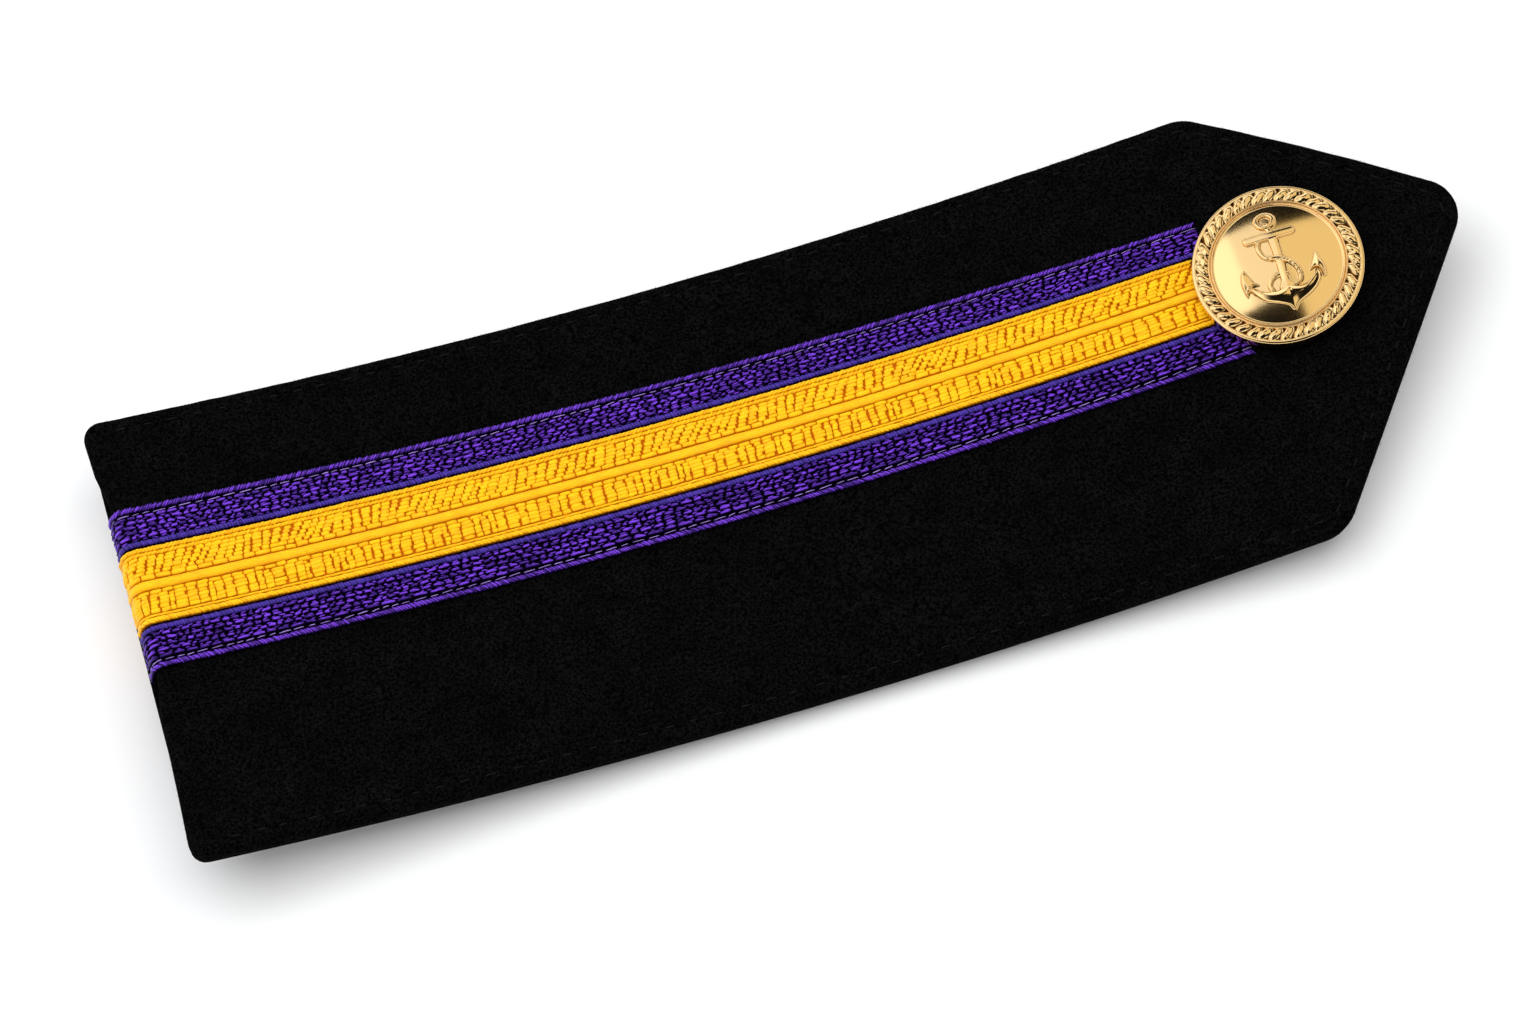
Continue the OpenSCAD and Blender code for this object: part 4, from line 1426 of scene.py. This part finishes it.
# The rope border: its middle and half width, the lean of a strand from the radius, a
# strand's half length and width, and how high it stands over the crevices
BORDER_R, BORDER_HALF = ROPE_R - 0.07 * MM, 0.62 * MM
STRAND_LEAN = math.radians(47)
STRAND_HALF_LEN, STRAND_HALF_W, ROPE_RISE = 1.1 * MM, 0.54 * MM, 0.34 * MM
# How unlike its strands are, in size, in place by their pitch and in lean, and the dents in
# them: their share of the height, and their width
STRAND_SIZES, STRAND_SLIP, LEAN_SLIP = (0.84, 1.1), 0.1, 0.12
DENT_DEPTH, DENT_W = 0.05, 0.9 * MM
# Points round the button for each strand of its border
STRAND_POINTS = 13
# The face's first ring, which a small flat closes, and how far out the anchor reaches
CENTRE_R, WORKED_R = 0.05 * MM, 6.55 * MM


def rope_height(out, theta, strands):
    """Height of the rope border over its crevices, as a share of its rise, at places out
    from its middle. The strands are uneven, as a worn die strikes them."""
    rng = np.random.default_rng(51)
    pitch = 2 * math.pi * BORDER_R / strands
    sizes = rng.uniform(*STRAND_SIZES, strands)
    shifts = rng.uniform(-STRAND_SLIP, STRAND_SLIP, strands)
    leans = STRAND_LEAN + rng.uniform(-LEAN_SLIP, LEAN_SLIP, strands)
    place = theta * strands / (2 * math.pi)
    height = np.zeros(np.broadcast(out, theta).shape)
    for step in (-1, 0, 1):
        number = np.round(place).astype(int) + step
        size, shift, lean = (v[number % strands] for v in (sizes, shifts, leans))
        along = (place - number - shift) * pitch
        a = (out * np.cos(lean) - along * np.sin(lean)) / STRAND_HALF_LEN
        b = (out * np.sin(lean) + along * np.cos(lean)) / STRAND_HALF_W
        lump = np.clip(1 - np.abs(a / size) ** 3 - np.abs(b / size) ** 2.2, 0, 1)
        height = np.maximum(height, lump**0.6 * size)
    return height * (1 + DENT_DEPTH * ripple(out, theta * BORDER_R, DENT_W, 52))


class BOARD_OT_button(bpy.types.Operator):
    """Stamps the gilt button: domed face with the anchor, bead, rope border and lip"""

    bl_idname = "shoulder_board.button"
    bl_label = "Gilt button"

    def execute(self, context):
        look = context.scene.shoulder_board.button
        turns = STRAND_POINTS * look.strands
        theta = np.arange(turns) * 2 * math.pi / turns
        rings, tones = [], []

        def ring(r, z, tone=0.0):
            """Adds a ring of points at a distance from the middle and a height."""
            r, z, tone = (np.broadcast_to(x, (turns,)) for x in (r, z, tone))
            rings.append(np.stack([r * np.cos(theta), r * np.sin(theta), z], -1))
            tones.append(tone)

        def turn(centre_r, centre_z, wide, high, first, last, steps, tone):
            """Adds rings over a rounded form, from one angle to another, in degrees."""
            for w in np.radians(np.linspace(first, last, steps)):
                ring(centre_r + wide * math.cos(w), centre_z + high * math.sin(w), tone)

        # The face is fine as far out as the anchor reaches, and plain beyond
        worked = np.linspace(CENTRE_R, WORKED_R, 102)
        for r in np.append(worked, np.linspace(WORKED_R + 0.15 * MM, FACE_R - 0.03 * MM, 4)):
            dome = LEDGE_Z + DOME_RISE * (1 - (r / FACE_R) ** 2)
            place = np.stack([r * np.cos(theta), r * np.sin(theta)], -1) / MM
            share = anchor_height(place)
            # Tarnish and painted shade darken the foot of the anchor's walls
            foot_tarnish_and_painted_shade = smooth(share / 0.15) * (1 - smooth((share - 0.2) / 0.3))
            ring(r, dome + look.relief * share, 0.7 * foot_tarnish_and_painted_shade)
        # Two fine beads round the face, with a groove between them darkened with tarnish and painted
        # shade
        bead = 0.12 * MM
        turn(BEAD_R - 1.5 * bead, LEDGE_Z, bead, 1.6 * bead, 170, 10, 6, 0.0)
        ring(BEAD_R - 0.3 * bead, LEDGE_Z - 0.06 * MM, 0.35)
        turn(BEAD_R + 0.8 * bead, LEDGE_Z, bead, 1.6 * bead, 170, 10, 6, 0.05)
        # The rope border, whose crevices are darkened with tarnish and painted shade, and the lip
        # outside it
        channel = LEDGE_Z - 0.15 * MM
        for out in np.linspace(-BORDER_HALF, BORDER_HALF, 21):
            lump = rope_height(np.full(turns, out), theta, look.strands)
            ring(BORDER_R + out, channel + ROPE_RISE * lump, np.clip(1.1 - 2.6 * lump, 0, 1))
        crest_r, lip = BORDER_R + BORDER_HALF + 0.14 * MM, 0.16 * MM
        ring(crest_r, LEDGE_Z + 0.02 * MM, 0.05)
        ring(crest_r + 0.06 * MM, LEDGE_Z + 0.04 * MM)
        turn(BUTTON_R - lip, LEDGE_Z - lip, lip, lip, 85, 0, 7, 0.05)
        base, curl = 0.8 * MM, 0.35 * MM
        turn(BUTTON_R - curl, base + curl, curl, curl, 0, -90, 6, 0.1)
        # The hollow behind, half darkened with tarnish and painted shade: the rim is crimped
        # inwards, and the ceiling follows the face
        crimp, wall = 0.35 * MM, 0.45 * MM
        inner_r = BUTTON_R - wall
        crimp_r = inner_r - crimp - 0.7 * MM
        ceiling = LEDGE_Z - wall
        for r, z in (
            (crimp_r, base), (crimp_r, base + crimp), (inner_r, base + crimp), (inner_r, ceiling),
            (FACE_R, ceiling), (FACE_R * 0.5, ceiling + DOME_RISE * 0.75),
            (CENTRE_R, ceiling + DOME_RISE),
        ):
            ring(r, z, 0.5)
        form = Form()
        rings = move(np.array(rings), on_board(BUTTON_S, BUTTON_Y))
        tube(form, rings, np.arange(len(rings)) * 0.1 * MM, 0, np.array(tones).ravel())
        form.make("gilt_button", [gilt_brass(look)], "gilt_brass", "button_shell")
        return {"FINISHED"}


class BOARD_OT_post(bpy.types.Operator):
    """Gives the plain post behind the button its turned brass"""

    bl_idname = "shoulder_board.post"
    bl_label = "Post"

    def execute(self, context):
        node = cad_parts["button_post"]
        node.data.materials.clear()
        node.data.materials.append(plain_brass(context.scene.shoulder_board.button))
        return {"FINISHED"}


# Studio

# What the camera looks at
AIM = Vector((-5.55, -2.29, 0)) * MM
# The floor lies just clear of the board's underside, so that no two faces share a plane
FLOOR_HALF, FLOOR_DROP = 4.0, 0.02 * MM
# The width of the camera's sensor in mm, and how near and how far it sees
SENSOR_W, NEAREST, FARTHEST = 36, 0.01, 20


def soft_light(name, height, x, y, glow, tint=(1, 1, 1), mirrored=True, lights=True):
    """A level, soft rectangular light over the board. x and y are its two edges, as shares
    of its height over the board. Its glow is its brightness, where 1 is white paper. It
    may be only mirrored, or only light. Lights that overlap need unlike heights."""
    data = bpy.data.lights.new(name, "AREA")
    data.shape = "RECTANGLE"
    data.color = tint
    data.size, data.size_y = (x[1] - x[0]) * height, (y[1] - y[0]) * height
    data.energy = glow * math.pi * data.size * data.size_y
    light = bpy.data.objects.new(name, data)
    light.location = AIM + Vector((sum(x) / 2, sum(y) / 2, 1)) * height
    light.visible_glossy = mirrored
    light.visible_diffuse = lights
    bpy.context.scene.collection.objects.link(light)


def studio_world(look):
    """Dim surroundings, paler near the horizon where the background paper would be."""
    world = bpy.data.worlds.new("studio")
    world.use_nodes = True
    tree = world.node_tree
    ray = add(tree, "ShaderNodeTexCoord").outputs["Generated"]
    height = add(tree, "ShaderNodeSeparateXYZ", {"Vector": ray}).outputs["Z"]
    fade = {
        "Value": height, "From Min": 0.4, "From Max": 0.66,
        "To Min": look.horizon, "To Max": look.zenith,
    }
    strength = add(tree, "ShaderNodeMapRange", fade).outputs["Result"]
    tree.links.new(strength, tree.nodes["Background"].inputs["Strength"])
    tree.nodes["Background"].inputs["Color"].default_value = (1, 1, 1, 1)
    return world


class BOARD_OT_stage(bpy.types.Operator):
    """Sets the pale floor, the soft light and the camera"""

    bl_idname = "shoulder_board.stage"
    bl_label = "Stage"

    def execute(self, context):
        look = context.scene.shoulder_board.studio
        mesh = bpy.data.meshes.new("floor")
        signs = ((-1, -1), (1, -1), (1, 1), (-1, 1))
        corners = [(x * FLOOR_HALF, y * FLOOR_HALF, 0) for x, y in signs]
        mesh.from_pydata(corners, [], [(0, 1, 2, 3)])
        mesh.materials.append(matt_paper(look.paper))
        floor = bpy.data.objects.new("floor", mesh)
        floor.location.z = -FLOOR_DROP
        context.scene.collection.objects.link(floor)

        data = bpy.data.cameras.new("camera")
        data.sensor_width = SENSOR_W
        data.lens = look.lens
        data.clip_start, data.clip_end = NEAREST, FARTHEST
        a, e = look.azimuth, look.elevation
        back = Vector((math.sin(a) * math.cos(e), -math.cos(a) * math.cos(e), math.sin(e)))
        camera = bpy.data.objects.new("camera", data)
        camera.location = AIM + back * look.distance
        camera.rotation_mode = "QUATERNION"
        camera.rotation_quaternion = (-back).to_track_quat("-Z", "Y")
        context.scene.collection.objects.link(camera)
        context.scene.camera = camera

        # The softbox is brighter on its left, as two panels one over the other. The gap between
        # it and the two cards is what the button mirrors as a dark patch
        cool, warm = (0.92, 0.95, 1.0), (1.0, 0.92, 0.66)
        soft_light("softbox", 0.8, (-0.95, 0.06), (0.2, 0.88), look.softbox, cool)
        soft_light("softbox_left", 0.84, (-0.95, -0.2), (0.2, 1.0), look.softbox * 0.4, cool)
        soft_light("left_card", 0.8, (-0.95, -0.34), (-0.3, 0.19), look.card, cool)
        right = (0.07, 0.65), (-0.3, 0.74)
        soft_light("right_card", 0.8, *right, look.card * 0.72, warm, lights=False)
        soft_light("key", 1.0, (-1.0, 0.8), (-0.35, 0.6), look.key, mirrored=False)
        context.scene.world = studio_world(look)
        context.scene.view_settings.view_transform = "Standard"
        return {"FINISHED"}


OPERATORS = (
    BOARD_OT_cover, BOARD_OT_backing, BOARD_OT_stitches, BOARD_OT_nap, BOARD_OT_purple,
    BOARD_OT_yellow, BOARD_OT_button, BOARD_OT_post, BOARD_OT_stage,
)


class BOARD_PT_panel(bpy.types.Panel):
    """Lists the board's pieces and what a user may change"""

    bl_idname = "BOARD_PT_panel"
    bl_label = "Shoulder board"
    bl_space_type = "VIEW_3D"
    bl_region_type = "UI"
    bl_category = "Shoulder board"

    def draw(self, context):
        look = context.scene.shoulder_board
        for group in (look.cloth, look.braid, look.button, look.studio):
            box = self.layout.box()
            for name in group.__annotations__:
                box.prop(group, name)
        for operator in OPERATORS:
            self.layout.operator(operator.bl_idname)


CLASSES = (ClothLook, BraidLook, ButtonLook, StudioLook, BoardLook, *OPERATORS, BOARD_PT_panel)


def register():
    for cls in CLASSES:
        bpy.utils.register_class(cls)
    bpy.types.Scene.shoulder_board = PointerProperty(type=BoardLook)


def unregister():
    del bpy.types.Scene.shoulder_board
    for cls in reversed(CLASSES):
        bpy.utils.unregister_class(cls)


def main():
    register()
    for operator in OPERATORS:
        group, name = operator.bl_idname.split(".")
        getattr(getattr(bpy.ops, group), name)()


if __name__ == "__main__":
    main()
